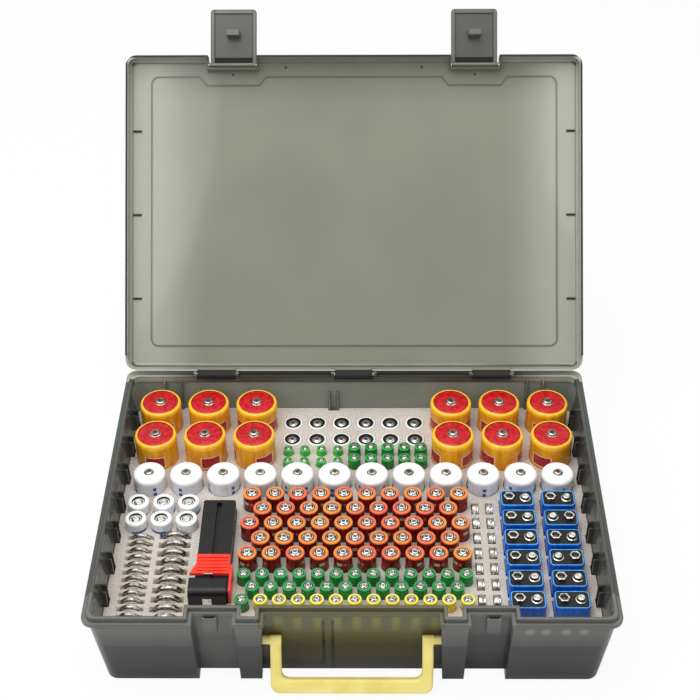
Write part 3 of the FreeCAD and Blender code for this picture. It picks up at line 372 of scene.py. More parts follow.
# %% Tray colours
def front_colours(paint, x, y, z, across):
    """The outside of the front: painted shade below the foam top, painted light above it where the lit
    foam shows through, paler pockets and glints of light, all painted.
    """
    # Painted shade on the wall below the foam top, painted light in the band above it.
    colour = paint.tint(z.ramp(0.0, FOAM_TOP), linear("#2b2b2c"), linear("#373737"))
    painted_light_over_foam = paint.tint(z.ramp(FOAM_TOP, RIM_LOW), linear("#4b4b4a"), linear("#686765"))
    colour = paint.tint(z.ramp(FOAM_TOP - 0.001, FOAM_TOP + 0.002), colour, painted_light_over_foam)
    pocket = inside(across, *POCKET_SIDES) * inside(y, FRONT_DRAFTED_Y, WALL_TURNS_IN)
    # Painted light in the latch pockets, stronger on the left where the lamps are brighter.
    colour = paint.tint(pocket * x.ramp(-0.02, 0.02, 0.28, 0.06), colour, linear("#8b8b84"))
    # Painted glints: pale spots of light seen through the wall.
    for mark in PAINTED_GLINTS:
        off = (x - mark) * (x - mark) + (z - GLINT_HEIGHT) * (z - GLINT_HEIGHT)
        glow = off.ramp(0.0, GLINT_SIZE ** 2, 0.5, 0.0) * y.below(-0.125)
        colour = paint.tint(glow, colour, linear("#9a9a94"))
    return colour


def recess_colours(paint, x, z):
    """Behind the handle: olive where the yellow cells show through, painted shade lower down, a painted
    glint for each yellow cell and a double strut.
    """
    # Painted shade: darker deeper in the recess.
    deep = paint.tint(z.ramp(0.004, 0.045), linear("#3c392d"), linear("#58533a"))
    olive = paint.tint(z.ramp(0.042, 0.066), deep, linear("#5a5a30"))
    # Painted glints of the yellow cells shining through the wall, one for each cell.
    angle = x * (2 * math.pi / CELL_PITCH)
    shine = angle.maths("SINE", angle).ramp(-0.4, 0.9, 0.0, 0.6) * z.ramp(SHINE_FROM, SHINE_FULL)
    olive = paint.tint(shine, olive, linear("#8a8434"))
    strut = inside(off_from(x, STRUT_X), *STRUT_SIDES) * z.below(STRUT_TOP)
    return paint.tint(strut * 0.85, olive, linear("#1f1e1a"))


def tray_colours(paint, flow):
    x, y, z = (paint.axis(name) for name in "XYZ")
    across = off_from(x, 0.0)
    recess = across.below(RECESS_HALF) * inside(y, FRONT_Y, WALL_TURNS_IN)
    colour = paint.tint(recess, front_colours(paint, x, y, z, across), recess_colours(paint, x, z))
    # Painted light and shade: the inner back wall, which faces the light, is paler than the shaded inner
    # side walls.
    side = paint.tint(flow, linear("#4b4c47"), linear("#454641"))
    back = paint.tint(flow, linear("#868c82"), linear("#7c8277"))
    indoors = z.above(0.030) * across.below(RIM_INSIDE)
    colour = paint.tint(indoors * inside(y, -0.1275, BACK_Y) * across.above(INNER_SIDE), colour, side)
    colour = paint.tint(indoors * inside(y, INNER_BACK, BACK_Y), colour, back)
    # Painted light and shade on the rim's top face: paler towards the back corners, darker in the middle
    # of the back rim and on the side rims. It is olive over the handle recess, where the yellow cells
    # show through.
    back_rim = paint.tint(across.ramp(0.12, 0.176), linear("#44463e"), linear("#a8ad9d"))
    front_rim = paint.tint(across.below(0.0670), linear("#6f706b"), linear("#66654a"))
    rim = paint.tint(y.above(0.1290), linear("#4b4e47"), back_rim)
    rim = paint.tint(y.below(-0.1100), rim, front_rim)
    return paint.tint(z.above(RIM_LOW), colour, rim), None


base_plastic = smoky("smoky_base", 0.9, 0.16, 0.0003, 0.85, tray_colours)
print("tray finish", base_plastic.material.name)

# %% [markdown]
# ## The lid's and the latches' colours
# The lid leans back at rest, and the latches with it, so their colours are laid out in two
# lengths of their own: `along` from the hinge to the free edge, and `height` above the hinge
# when the lid is shut. The panel line, the short bars and the dimples are shaped in the
# solid already. A mask darkens them, as the shade in so narrow a groove does.

# %% Places on the lid and the latches
HINGE_Y, HINGE_Z, LEAN = 0.1335, 0.0775, math.radians(130.0)
PANEL_HALF, PANEL_ENDS = 0.1900, (0.0060, 0.2680)
BEAD_HEIGHTS, BAR_HEIGHTS, DIMPLE_HEIGHTS = (0.0078, 0.00845), (0.0069, 0.00785), (0.0089, 0.0094)
BARS_FROM, FRONT_WALL, RIM_SIDE, RIM_TOP = 0.1760, (0.2672, 0.2689), 0.1921, -0.0030
LATCH_X, PIN_ALONG = 0.1034, 0.2640
BAY_HALF, BAY_OUTSIDE, BAY_FROM, BAY_INSIDE = 0.0204, 0.0223, 0.2604, 0.2622
print("lid leans", round(math.degrees(LEAN)), "degrees")


# %% Lid colours
def lid_frame(paint):
    x, y, z = (paint.axis(name) for name in "XYZ")
    along = (y - HINGE_Y) * -math.cos(LEAN) + (z - HINGE_Z) * math.sin(LEAN)
    height = (y - HINGE_Y) * math.sin(LEAN) + (z - HINGE_Z) * math.cos(LEAN)
    return off_from(x, 0.0), along, height


def lid_colours(paint, flow):
    """Solid where the bays, the bars, the rim's face and the hinge strip lie over other
    plastic."""
    across, along, height = lid_frame(paint)
    colour = paint.tint(flow, linear("#838672"), linear("#7c7f6d"))
    # Painted light: paler towards the sides. Painted shade: darker towards the free edge.
    colour = paint.tint(across.ramp(0.125, 0.175) * 0.56, colour, linear("#b7b9aa"))
    shade = along.ramp(0.225, 0.262) * across.ramp(0.135, 0.175, 0.5, 0.1)
    colour = paint.tint(shade, colour, linear("#55564c"))
    panel = across.below(PANEL_HALF) * inside(along, *PANEL_ENDS)
    colour = paint.tint(panel * inside(height, *BEAD_HEIGHTS) * 0.75, colour, linear("#53564a"))
    bead_top = panel * inside(height, *BAR_HEIGHTS)
    bars = bead_top * across.above(BARS_FROM)
    colour = paint.tint(bead_top, colour, linear("#2c2f28"))
    colour = paint.tint(bars, colour, linear("#11130e"))
    colour = paint.tint(panel * inside(height, *DIMPLE_HEIGHTS), colour, linear("#1d201b"))
    # Painted light on the inner front wall, which faces away from the lamps.
    front_wall = inside(along, *FRONT_WALL) * height.below(0.0080)
    colour = paint.tint(front_wall * across.ramp(0.06, 0.15, 0.4, 1.0), colour, linear("#a4a694"))
    # Painted shade along the rim's edges.
    outline = either(across.above(RIM_SIDE), along.above(FRONT_WALL[1])) * height.below(RIM_TOP)
    colour = paint.tint(outline, colour, linear("#141613"))
    # Painted shade in the latch bays: dark walls and a near black floor.
    bay = off_from(across, LATCH_X)
    bay_wall = either(inside(bay, BAY_HALF, BAY_OUTSIDE) * along.above(0.2600),
                      bay.below(BAY_OUTSIDE) * inside(along, BAY_FROM, BAY_INSIDE))
    colour = paint.tint(bay_wall * height.below(0.0070) * 0.85, colour, linear("#2a2d26"))
    bay_floor = bay.below(BAY_HALF) * along.above(BAY_INSIDE) * height.below(0.0095)
    colour = paint.tint(bay_floor, colour, linear("#0e100d"))
    # Painted shadow along the hinge strip.
    hinge_side = along.below(0.0035)
    solid = either(either(bay_floor, bars), either(outline, hinge_side))
    return paint.tint(hinge_side, colour, linear("#171915")), solid


# %% Latch colours
def latch_colours(paint, flow):
    """Solid in the window over the pin, where one looks past the latch into its bay."""
    across, along, height = lid_frame(paint)
    reach = along - PIN_ALONG
    edge = off_from(across, LATCH_X)
    colour = paint.tint(flow, linear("#626458"), linear("#5a5c50"))
    # Painted shade: the plate is darker past the hook.
    colour = paint.tint(height.above(0.0136) * reach.above(0.009), colour, linear("#4b4c46"))
    # Painted shadow line inside the latch's border.
    border = inside(edge, 0.0155, 0.0166) * reach.above(0.008)
    colour = paint.tint(border * 0.6, colour, linear("#2b2d26"))
    # Painted shade in the window, where the latch plate behind lies in shadow.
    window = edge.below(0.0165) * inside(reach, 0.0016, 0.0088) * height.above(0.0090)
    return paint.tint(window, colour, linear("#090b09")), window


lid_plastic = smoky("smoky_lid", 0.86, 0.05, 0.00008, 0.3, lid_colours)
latch_plastic = smoky("smoky_latch", 0.96, 0.2, 0.0003, 0.5, latch_colours)
print("lid and latch finishes", lid_plastic.material.name, latch_plastic.material.name)

# %% [markdown]
# ## The foam
# The foam is cut from a block of pale warm grey with a dense dark speckle. A picture of foam
# would do, but it would stretch down the walls of the pockets. Noise measured in metres of
# space runs through the block as the real grain does. The slits for the coins close up beside
# them, so their ends stay almost as pale as the top: a little emission stands in for that.

# %% Foam
SLIT_SPAN, SLIT_DEPTH = (-0.1800, -0.1165), (0.0300, 0.0427)
foam = Paint("speckled_foam", Roughness=0.95)
fleck = foam.noise(0.0011, 2.0, 0.6)
patch = foam.noise(0.03, 2.0)
pore = foam.cells(0.0021)
foam_pale = foam.tint(patch.ramp(0.3, 0.7), linear("#d5ccc3"), linear("#c8beb4"))
foam.set(Base_Color=foam.tint(fleck.ramp(0.48, 0.68) * 0.7, foam_pale, linear("#8f857a")))
foam.bump(fleck * 0.6 + pore * 0.6, 0.0006, 0.6)
coin_slits = inside(foam.axis("X"), *SLIT_SPAN) * inside(foam.axis("Z"), *SLIT_DEPTH)
foam.set(Emission_Color=foam.tint(coin_slits, (0, 0, 0, 1), linear("#5d5750")))
foam.shader.inputs["Emission Strength"].default_value = 1.0
print("foam finish", foam.material.name)

# %% [markdown]
# ## The handle
# A satin bow of pale yellow plastic. Fresh mouldings are never one flat colour, so a slow
# noise drifts between two close yellows, and a fine one breaks up the shine.

# %% Handle plastic
yellow = Paint("handle_yellow", Coat_Weight=0.1, Coat_Roughness=0.3)
mottle = yellow.noise(0.02, 3.0)
yellow.set(Base_Color=yellow.tint(mottle.ramp(0.3, 0.7), linear("#f6e68a"), linear("#ecd870")),
           Roughness=yellow.noise(0.003, 4.0).ramp(0.3, 0.7, 0.38, 0.52))
yellow.bump(yellow.noise(0.0007, 2.0), 0.00008, 0.4)
print("handle finish", yellow.material.name)

# %% [markdown]
# ## Steel
# The contacts and the coins are nickel-plated steel with a fine turned grain. A metal takes
# its look from what it mirrors, so three tones of one recipe serve: bright, duller, and a dark
# one that is painted shade in dimples, wells and under edges.


# %% Steel
def metal(name, colour, deep, rough):
    paint = Paint(name, Metallic=1.0)
    smear = paint.noise(0.003, 4.0, 0.6)
    paint.set(Base_Color=paint.tint(smear.ramp(0.35, 0.7), linear(colour), linear(deep)),
              Roughness=paint.noise(0.0012, 3.0, 0.6, (1, 1, 0.3)).ramp(0.3, 0.7, rough, rough + 0.16))
    return paint.bump(paint.noise(0.0005, 2.0), 0.00004, 0.3)


steel = metal("nickel_steel", "#f1f0ec", "#b9b8b2", 0.12)
dull_steel = metal("dull_steel", "#cfcbc2", "#716c64", 0.16)
dark_steel = metal("dark_steel", "#6e675d", "#4a443b", 0.3)
print("steels", steel.material.name, dull_steel.material.name, dark_steel.material.name)

# %% [markdown]
# ## The plastics of the tester
# The tester is moulded in black and red with a fine matt texture. The same recipe in a near
# black is painted shade in the gaps round the contacts, in the vent slots and in the wells,
# where no light comes back out; it also makes the dark gasket line of the coins.


# %% Moulded black, red and dark gaps
def moulded(name, colour, deep, rough, coat=0.0):
    paint = Paint(name, Coat_Weight=coat, Coat_Roughness=0.2, Specular_IOR_Level=0.3)
    cloud = paint.noise(0.012, 3.0)
    paint.set(Base_Color=paint.tint(cloud.ramp(0.3, 0.7), linear(colour), linear(deep)),
              Roughness=paint.noise(0.002, 4.0).ramp(0.3, 0.7, rough, rough + 0.15))
    return paint.bump(paint.noise(0.0006, 2.0), 0.00006, 0.4)


black_plastic = moulded("black_plastic", "#161618", "#0f0f11", 0.3)
tester_red = moulded("tester_red", "#f23f2e", "#e43422", 0.32, 0.1)
dark_gap = moulded("gap_shade_and_gasket", "#0e0c0b", "#060605", 0.8)
print("moulded", black_plastic.material.name, tester_red.material.name, dark_gap.material.name)

# %% [markdown]
# ## Printed film on the cells
# A cell's jacket is a shrunk film over a steel can, so it is glossy, with faint upright
# streaks. Each kind has its own colours, and some carry plain printed patches. The print could
# be separate thin shells. Masks are lighter and lie flush, as ink does. A patch is measured
# in the jacket's own wrap: turns round the axis and metres of height.


# %% Film
def film(name, colour, deep, rough=0.24, patches=(), drift=0.004):
    """Each patch is (turns from, turns to, height from, height to, colour); the hue drifts
    between two colours over a length."""
    paint = Paint(name, Coat_Weight=0.1, Coat_Roughness=0.06, Specular_IOR_Level=0.3)
    streak = paint.noise(drift, 3.0, 0.5, (1, 1, 0.12))
    print_colour = paint.tint(streak.ramp(0.3, 0.7), linear(colour), linear(deep))
    for left, right_edge, low, high, ink in patches:
        patch = inside(paint.axis("X", paint.wrap()), left, right_edge) * inside(
            paint.axis("Y", paint.wrap()), low, high)
        print_colour = paint.tint(patch, print_colour, linear(ink))
    paint.set(Base_Color=print_colour,
              Roughness=paint.noise(0.002, 3.0).ramp(0.3, 0.7, rough, rough + 0.12))
    return paint.bump(paint.noise(0.003, 2.0, 0.5, (1, 1, 0.3)), 0.00006, 0.3)


def framed(turn, width, low, high, ink, line, side=0.0072, rim=0.00072):
    """Two patches that make a printed rectangle with a pale border. The width and the
    border's side are in turns, the heights and the border's rim in metres."""
    return [(turn, turn + width, low, high, line),
            (turn + side, turn + width - side, low + rim, high - rim, ink)]


# %% Colours of the films
BADGES = [patch for turn in (0.05, 0.38, 0.71)
          for patch in framed(turn, 0.16, 0.036, 0.0475, "#a8202a", "#f6dcc4")]
BLOCKS = [(half + start, half + end, 0.022, top, ink) for half in (0.0, 0.5)
          for start, end, top, ink in ((0.05, 0.3, 0.0275, "#2459ad"), (0.34, 0.42, 0.0262, "#c2485a"))]
TICKS = [(half + start, half + end, 0.041, 0.0438, ink) for half in (0.0, 0.5)
         for start, end, ink in ((0.1, 0.19, "#b9c3a8"), (0.22, 0.27, "#d8574a"))]
DASHES = [(turn, turn + 0.035, low, low + 0.0035, "#1f4fa0")
          for turn in (0.08, 0.3, 0.58, 0.8) for low in (0.0285, 0.0335, 0.0385)]
amber_film = film("amber_film", "#f2ae20", "#d98a10", patches=BADGES)
amber_shoulder_highlight = film("amber_shoulder_highlight", "#ffc832", "#f6b31c", 0.18)
yellow_rim_and_highlight = film("yellow_rim_and_highlight_film", "#ffe27a", "#ffd65a", 0.2)
red_disc = film("red_disc", "#d61a22", "#9a0a12", 0.3)
white_film = film("white_film", "#eef0f3", "#d9dce2", patches=DASHES)
white_disc = film("white_disc", "#fafafa", "#efeff0", 0.3)
photo_film = film("photo_film", "#eef0f2", "#dadde2", patches=BLOCKS)
short_film = film("short_film", "#f0f0f0", "#dcdddf")
dark_red_film = film("dark_red_film", "#8a0d0c", "#5f0505", patches=TICKS)
orange_ring = film("orange_ring", "#f0983a", "#ea6546", drift=0.02)
green_film = film("green_film", "#1c9440", "#10702a")
green_ring = film("green_ring", "#35a455", "#1f8a3f")
lemon_film = film("lemon_film", "#f4de3e", "#dcbd22")
lemon_ring = film("lemon_ring", "#fdf07a", "#f3de4c")
deep_green_film = film("deep_green_film", "#178a30", "#0d6a1e")
deep_green_ring = film("deep_green_ring", "#2ea547", "#1c8a34")
bright_green_film = film("bright_green_film", "#3fc53a", "#23a024")
bright_green_ring = film("bright_green_ring", "#58c463", "#39ab48")
blue_film = film("blue_film", "#0468d2", "#034fae")
blue_edge_highlight = film("blue_edge_highlight_film", "#62bdf5", "#3f9ce8", 0.2)
black_disc = film("black_disc", "#120f10", "#070606", 0.4)
print("made", len(bpy.data.materials), "materials")

# %% [markdown]
# ## Finding the cells in the frame
# A node holds all the cells of one kind as separate solids. We could type in two hundred
# places, but they would be wrong as soon as the case changes. Welding a copy of the mesh and
# walking from vertex to vertex gives each solid's box, and so the place of every cell.


# %% Islands of a node
def islands(name):
    """The (low, high) corners of each separate solid of a node, as vectors."""
    mesh = bmesh.new()
    mesh.from_mesh(nodes[name].data)
    bmesh.ops.remove_doubles(mesh, verts=mesh.verts, dist=1e-6)
    left = set(mesh.verts)
    found = []
    while left:
        front = [left.pop()]
        group = list(front)
        while front:
            for edge in front.pop().link_edges:
                for vert in edge.verts:
                    if vert in left:
                        left.discard(vert)
                        front.append(vert)
                        group.append(vert)
        spans = [[v.co[k] for v in group] for k in range(3)]
        found.append((Vector([min(s) for s in spans]), Vector([max(s) for s in spans])))
    mesh.free()
    return sorted(found, key=lambda box: (-round(box[0].y, 3), box[0].x))


def middle(box):
    return (box[0] + box[1]) / 2


print("large cells found", len(islands("d_cell_jackets")))

# %% [markdown]
# ## Building a cell from rings
# Every cell is a stack of rings, each with a size, a height and a finish. The rings are
# circles for a round cell and rounded rectangles for a block. Two rings close together make
# a crisp edge, and a few on an arc make a rolled one. A Screw modifier would turn a profile
# too, but with rings each band can have its own finish and its own lobes. All cells of a kind
# go into one mesh. Each round one is turned by its own angle, so that no two print seams line
# up.


# %% Outlines of a ring
def round_ring(count):
    """A circle; lobes make its radius swell and shrink as one goes round."""
    def ring(radius, lobes=0.0, petals=4):
        return [(radius * (1 + lobes * math.cos(petals * a)) * math.cos(a),
                 radius * (1 + lobes * math.cos(petals * a)) * math.sin(a))
                for a in (2 * math.pi * k / count for k in range(count))]
    return ring


def block_ring(half_x, half_y, corner, steps=5):
    """A rounded rectangle; the size is how far it lies inside the full outline."""
    def ring(inset):
        size = max(corner - inset, corner * 0.25)
        points = []
        for quarter, (sx, sy) in enumerate(((1, 1), (-1, 1), (-1, -1), (1, -1))):
            for step in range(steps + 1):
                a = math.pi / 2 * (quarter + step / steps)
                points.append((sx * (half_x - inset - size) + size * math.cos(a),
                               sy * (half_y - inset - size) + size * math.sin(a)))
        return points
    return ring


def arc(radius, height, size, start, end, steps=4, way=1):
    """Points on a quarter-round of the profile, centred at (radius, height)."""
    points = []
    for step in range(steps + 1):
        angle = math.radians(start + (end - start) * step / steps)
        points.append((radius + way * size * math.cos(angle), height + size * math.sin(angle)))
    return points


# %% One stack of rings
def skin(profile, paints, count, offset):
    """Faces, slots and wrap coordinates of one stack whose first vertex is at the offset; a
    step takes the finish of its upper end."""
    faces, slots, wraps = [], [], []
    for level in range(len(profile) - 1):
        low, high = profile[level][1], profile[level + 1][1]
        lower, upper = offset + level * count, offset + (level + 1) * count
        for k in range(count):
            after = (k + 1) % count
            faces.append((lower + k, lower + after, upper + after, upper + k))
            slots.append(paints.index(profile[level + 1][2]))
            wraps += [(k / count, low), ((k + 1) / count, low),
                      ((k + 1) / count, high), (k / count, high)]
    for level, order in ((0, -1), (len(profile) - 1, 1)):
        faces.append(tuple([offset + level * count + k for k in range(count)][::order]))
        slots.append(paints.index(profile[level][2]))
        wraps += [(0.5, profile[level][1])] * count
    return faces, slots, wraps


# %% All stacks of a kind
SMOOTH_UP_TO = math.radians(35)


def stacked(name, body, ring, profile, places, lie=None):
    """profile is a list of (size, height, paint[, lobes, petals]), from the foot upwards.
    places are (foot, turn)."""
    paints = list(dict.fromkeys(step[2] for step in profile))
    loops = [(ring(step[0], *step[3:]), step[1]) for step in profile]
    count = len(loops[0][0])
    verts, faces, slots, wraps = [], [], [], []
    for place, spin in places:
        for into, more in zip((faces, slots, wraps), skin(profile, paints, count, len(verts))):
            into += more
        turn = Matrix.Rotation(spin, 3, "Z")
        for loop, height in loops:
            for x, y in loop:
                point = turn @ Vector((x, y, height))
                verts.append(place + (lie @ point if lie else point))
    mesh = bpy.data.meshes.new(name)
    mesh.from_pydata(verts, [], faces)
    for paint in paints:
        mesh.materials.append(paint.material)
    mesh.polygons.foreach_set("material_index", slots)
    mesh.polygons.foreach_set("use_smooth", [True] * len(faces))
    layer = mesh.uv_layers.new(name="wrap")
    layer.data.foreach_set("uv", [n for pair in wraps for n in pair])
    mesh.set_sharp_from_angle(angle=SMOOTH_UP_TO)
    piece = bpy.data.objects.new(name, mesh)
    bpy.context.scene.collection.objects.link(piece)
    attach(piece, body)
    print(name, len(places), "copies,", len(faces), "faces")
    return piece


def stand(name, spin=2.4):
    """Places for cells at a node's solids: foot of each axis, and a turn for each."""
    places = []
    for number, box in enumerate(islands(name)):
        centre = middle(box)
        places.append((Vector((centre.x, centre.y, box[0].z)), number * spin))
    return places


# %% [markdown]
# ## The shared parts of a cell's top
# The positive end is a pressed steel cap: a flat annulus with a raised nub, and between the
# nub and the film's ring the slots that vent the cell, dark with painted shade. On the small
# cells the slots are lobes round the nub. Every kind of cell uses the same three helpers, so
# that a change to the nub reaches them all.


# %% Tops
def nub(radius, low, high, paint=steel, dimple=0.0):
    """Profile of the raised contact, from its foot to its centre."""
    soft = min(radius * 0.3, (high - low) * 0.4)
    side = [(radius * 1.12, low, paint), (radius, low + soft * 0.5, paint)]
    crown = [(r, h, paint) for r, h in arc(radius - soft, high - soft, soft, 0, 90)]
    centre = high - max(dimple, 0.00008)
    # Painted shade: the dimple's centre is dark steel.
    inner = dark_steel if dimple else paint
    return side + crown + [(radius * 0.56, high, paint), (radius * 0.42, centre, inner),
                           (0.0001, centre, inner)]


def shoulder(radius, height, size, paint, steps=5):
    """The rolled edge where the film turns over on to the cell's top."""
    return [(r, h, paint) for r, h in arc(radius - size, height - size, size, 0, 90, steps)]


def sizes(jackets, contacts):
    """Radius, jacket height and full height of a kind of cell, and its contact's radius."""
    jacket = islands(jackets)[0]
    contact = islands(contacts)[0]
    return ((jacket[1].x - jacket[0].x) / 2, jacket[1].z - jacket[0].z,
            contact[1].z - jacket[0].z, (contact[1].x - contact[0].x) / 2)


# %% [markdown]
# ## Large cells
# Amber film with plain red badges. The rolled shoulder is a brighter amber, a painted highlight,
# and the ring on top is paler still, its own yellow with a painted highlight on the edge. A red
# card disc is sunk inside it, a little domed, with a ring of painted shade round it. The contact
# stands well out of the disc and is dimpled. The solids give the size and the place, and the
# profile here adds the rolled and sunk edges.

# %% Large cells
radius, height, full, contact = sizes("d_cell_jackets", "d_cell_terminals")
sunk = height - 0.0007
profile = [(radius - 0.001, 0, amber_film), (radius, 0.001, amber_film),
           (radius, height - 0.0042, amber_film)]
# Painted highlight: the shoulder is a brighter amber than the film, and the yellow ring's edge is paler.
# The dark rings round the red disc and round the contact are painted shade.
profile += shoulder(radius, height, 0.0022, amber_shoulder_highlight)
profile += [(radius * 0.875, height, yellow_rim_and_highlight), (radius * 0.862, height - 0.0003, yellow_rim_and_highlight),
            (radius * 0.858, sunk, dark_gap), (radius * 0.848, sunk, dark_gap),
            (radius * 0.84, sunk + 0.0001, red_disc), (radius * 0.5, sunk + 0.0004, red_disc),
            (contact * 1.3, sunk + 0.0006, red_disc), (contact * 1.25, sunk + 0.0003, dark_gap)]
profile += nub(contact, sunk + 0.0003, full, dull_steel, 0.0009)
large = stacked("large_cells", "d_cells", round_ring(56), profile, stand("d_cell_jackets"))
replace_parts(large, "d_cell_jackets", "d_cell_tops", "d_cell_terminals")

# %% [markdown]
# ## Medium cells
# White film with blue dashes, and a white shoulder that rolls over further than on the large
# cells. A thin dark ring sunk round the contact is painted shade.

# %% Medium cells
radius, height, full, contact = sizes("c_cell_jackets", "c_cell_terminals")
sunk = height - 0.0003
profile = [(radius - 0.001, 0, white_film), (radius, 0.001, white_film),
           (radius - 0.0002, height - 0.0042, white_film), (radius, height - 0.0036, white_disc)]
profile += shoulder(radius, height, 0.0026, white_disc, 7)
profile += [(radius * 0.79, height, white_disc), (radius * 0.77, sunk, white_disc),
            # Painted shade in the sunk ring round the contact.
            (contact * 1.2, sunk + 0.0001, white_disc), (contact * 1.15, sunk - 0.0004, dark_gap),
            (contact * 1.1, sunk - 0.0004, dark_gap)]
profile += nub(contact, sunk - 0.0004, full, dull_steel, 0.0007)
medium = stacked("medium_cells", "c_cells", round_ring(48), profile, stand("c_cell_jackets"))
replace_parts(medium, "c_cell_jackets", "c_cell_tops", "c_cell_terminals")

# %% [markdown]
# ## Small and slim cells
# These share one recipe: film, a paler ring rolled over the shoulder, a gap painted dark as
# shade, then the pressed cap with its vent slots, dark with painted shade. Only the colours and
# sizes differ, so one function makes all five kinds.


# %% Small, slim and thin cells
def film_cells(name, body, jackets, contacts, side, ring, ring_inner, count=32):
    radius, height, full, contact = sizes(jackets, contacts)
    cap = height - (full - height) * 0.35
    cap_radius = radius * (ring_inner - 0.12)
    nub_radius = radius * 0.34
    profile = [(radius * 0.96, 0, side), (radius, radius * 0.05, side),
               (radius, height - radius * 0.2, side)]
    profile += shoulder(radius, height, radius * 0.13, ring, 4)
    # Painted shade: the gap inside the ring, the vent slots and the lobes round the nub are dark.
    profile += [(radius * ring_inner, height, ring),
                (radius * (ring_inner - 0.03), height - radius * 0.06, ring),
                (radius * (ring_inner - 0.04), cap, dark_gap),
                (cap_radius, cap, dark_gap), (cap_radius * 0.97, cap + radius * 0.04, steel),
                (cap_radius * 0.84, cap + radius * 0.04, steel, 0.1),
                (cap_radius * 0.82, cap - radius * 0.03, dark_gap, 0.1),
                (nub_radius * 1.22, cap - radius * 0.03, dark_gap, -0.05)]
    profile += nub(nub_radius, cap, full, dimple=radius * 0.03)
    piece = stacked(name, body, round_ring(count), profile, stand(jackets))
    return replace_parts(piece, jackets, contacts)


film_cells("small_cells", "aa_cells", "aa_cell_jackets", "aa_cell_terminals",
           dark_red_film, orange_ring, 0.7)
film_cells("slim_green_cells", "aaa_cells", "aaa_green_jackets", "aaa_green_terminals",
           green_film, green_ring, 0.7)
film_cells("slim_yellow_cells", "aaa_cells", "aaa_yellow_jackets", "aaa_yellow_terminals",
           lemon_film, lemon_ring, 0.7)
film_cells("thin_green_cells", "slim_cells", "slim_cell_jackets", "slim_cell_terminals",
           bright_green_film, bright_green_ring, 0.72, 24)
film_cells("short_green_cells", "alarm_cells", "alarm_cell_jackets", "alarm_cell_terminals",
           deep_green_film, deep_green_ring, 0.7)

# %% [markdown]
# ## White cells at the left
# Short and stout, with a deep well in the top. A steel floor lies in the well, and the
# contact stands on it. The blue and red patches are plain blocks.

# %% White cells at the left
WELL_DEPTH = 0.0013
radius, height, full, contact = sizes("photo_cell_jackets", "photo_cell_terminals")
well = radius * 0.62
floor_of_well = full - WELL_DEPTH
profile = [(radius * 0.96, 0, photo_film), (radius, radius * 0.05, photo_film),
           (radius, height - radius * 0.22, photo_film)]
profile += shoulder(radius, height, radius * 0.15, white_disc, 5)
profile += [(well * 1.04, height, white_disc), (well, height - 0.0003, white_disc),
            # Painted shade on the well's wall and in the ring round the contact's foot.
            (well * 0.98, floor_of_well, dark_gap), (well * 0.93, floor_of_well, dark_gap),
            (well * 0.90, floor_of_well + 0.0002, steel),
            (radius * 0.42, floor_of_well + 0.0002, steel),
            (radius * 0.40, floor_of_well - 0.0001, dark_steel)]
profile += nub(radius * 0.34, floor_of_well, full)
photo = stacked("white_cells", "photo_cells", round_ring(40), profile, stand("photo_cell_jackets"))
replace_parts(photo, "photo_cell_jackets", "photo_cell_terminals")

# %% [markdown]
# ## Short cells with black tops
# A thin white edge goes round a sunk black disc. Only their tops stand out of the foam, so
# the sides stay plain.

# %% Short cells with black tops
radius, height, full, contact = sizes("short_cell_jackets", "short_cell_terminals")
profile = [(radius * 0.96, 0, short_film), (radius, 0.0004, short_film)]
profile += shoulder(radius, height, 0.0007, white_disc)
# The dark ring round the contact is painted shade.
profile += [(radius * 0.83, height, white_disc), (radius * 0.81, height - 0.0004, black_disc),
            (contact * 1.35, height - 0.0004, black_disc), (contact * 1.3, height - 0.0006, dark_gap)]
profile += nub(contact, height - 0.0006, full, dimple=0.0005)
short = stacked("short_cells", "short_cells", round_ring(40), profile, stand("short_cell_jackets"))
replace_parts(short, "short_cell_jackets", "short_cell_tops", "short_cell_terminals")

# %% [markdown]
# ## Block cells
# A blue film over a can with soft corners, a painted highlight in pale blue where the film turns
# over, and a dark plate sunk inside it. On the plate stand a snap stud and a six-petalled snap socket.

# %% Block cans
low, high = islands("block_cell_cans")[0]
can_size, can_height = high - low, high.z - low.z
CAN_CORNER, PLATE_INSET, PLATE_DROP = 0.0038, 0.0014, 0.0005
profile = [(0.0004, 0, blue_film), (0, 0.0004, blue_film), (0, can_height - 0.0016, blue_film)]
profile += [(inset, h, blue_film) for inset, h in arc(0.0009, can_height - 0.0009, 0.0009, 0, 75, 4, -1)]
# Painted highlight: the pale blue line where the film turns over the edge.
profile += [(0.0010, can_height, blue_edge_highlight), (PLATE_INSET - 0.0001, can_height - 0.0001, blue_edge_highlight),
            (PLATE_INSET, can_height - PLATE_DROP, black_disc),
            (PLATE_INSET + 0.002, can_height - PLATE_DROP, black_disc)]
blocks = stacked("block_cells", "block_cells",
                 block_ring(can_size.x / 2, can_size.y / 2, CAN_CORNER), profile,
                 stand("block_cell_cans", 0.0))
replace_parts(blocks, "block_cell_cans", "block_cell_tops")

# %% [markdown]
# ## Snap contacts
# The stud is a round button with a waist, and the socket a six-petalled cup that springs over
# it. Both are stacks of rings again, and the petals are lobes that swell towards the lip.


# %% Snap contacts
def rise_of(name):
    low, high = islands(name)[0]
    return high.z - low.z


rise = rise_of("block_cell_studs")
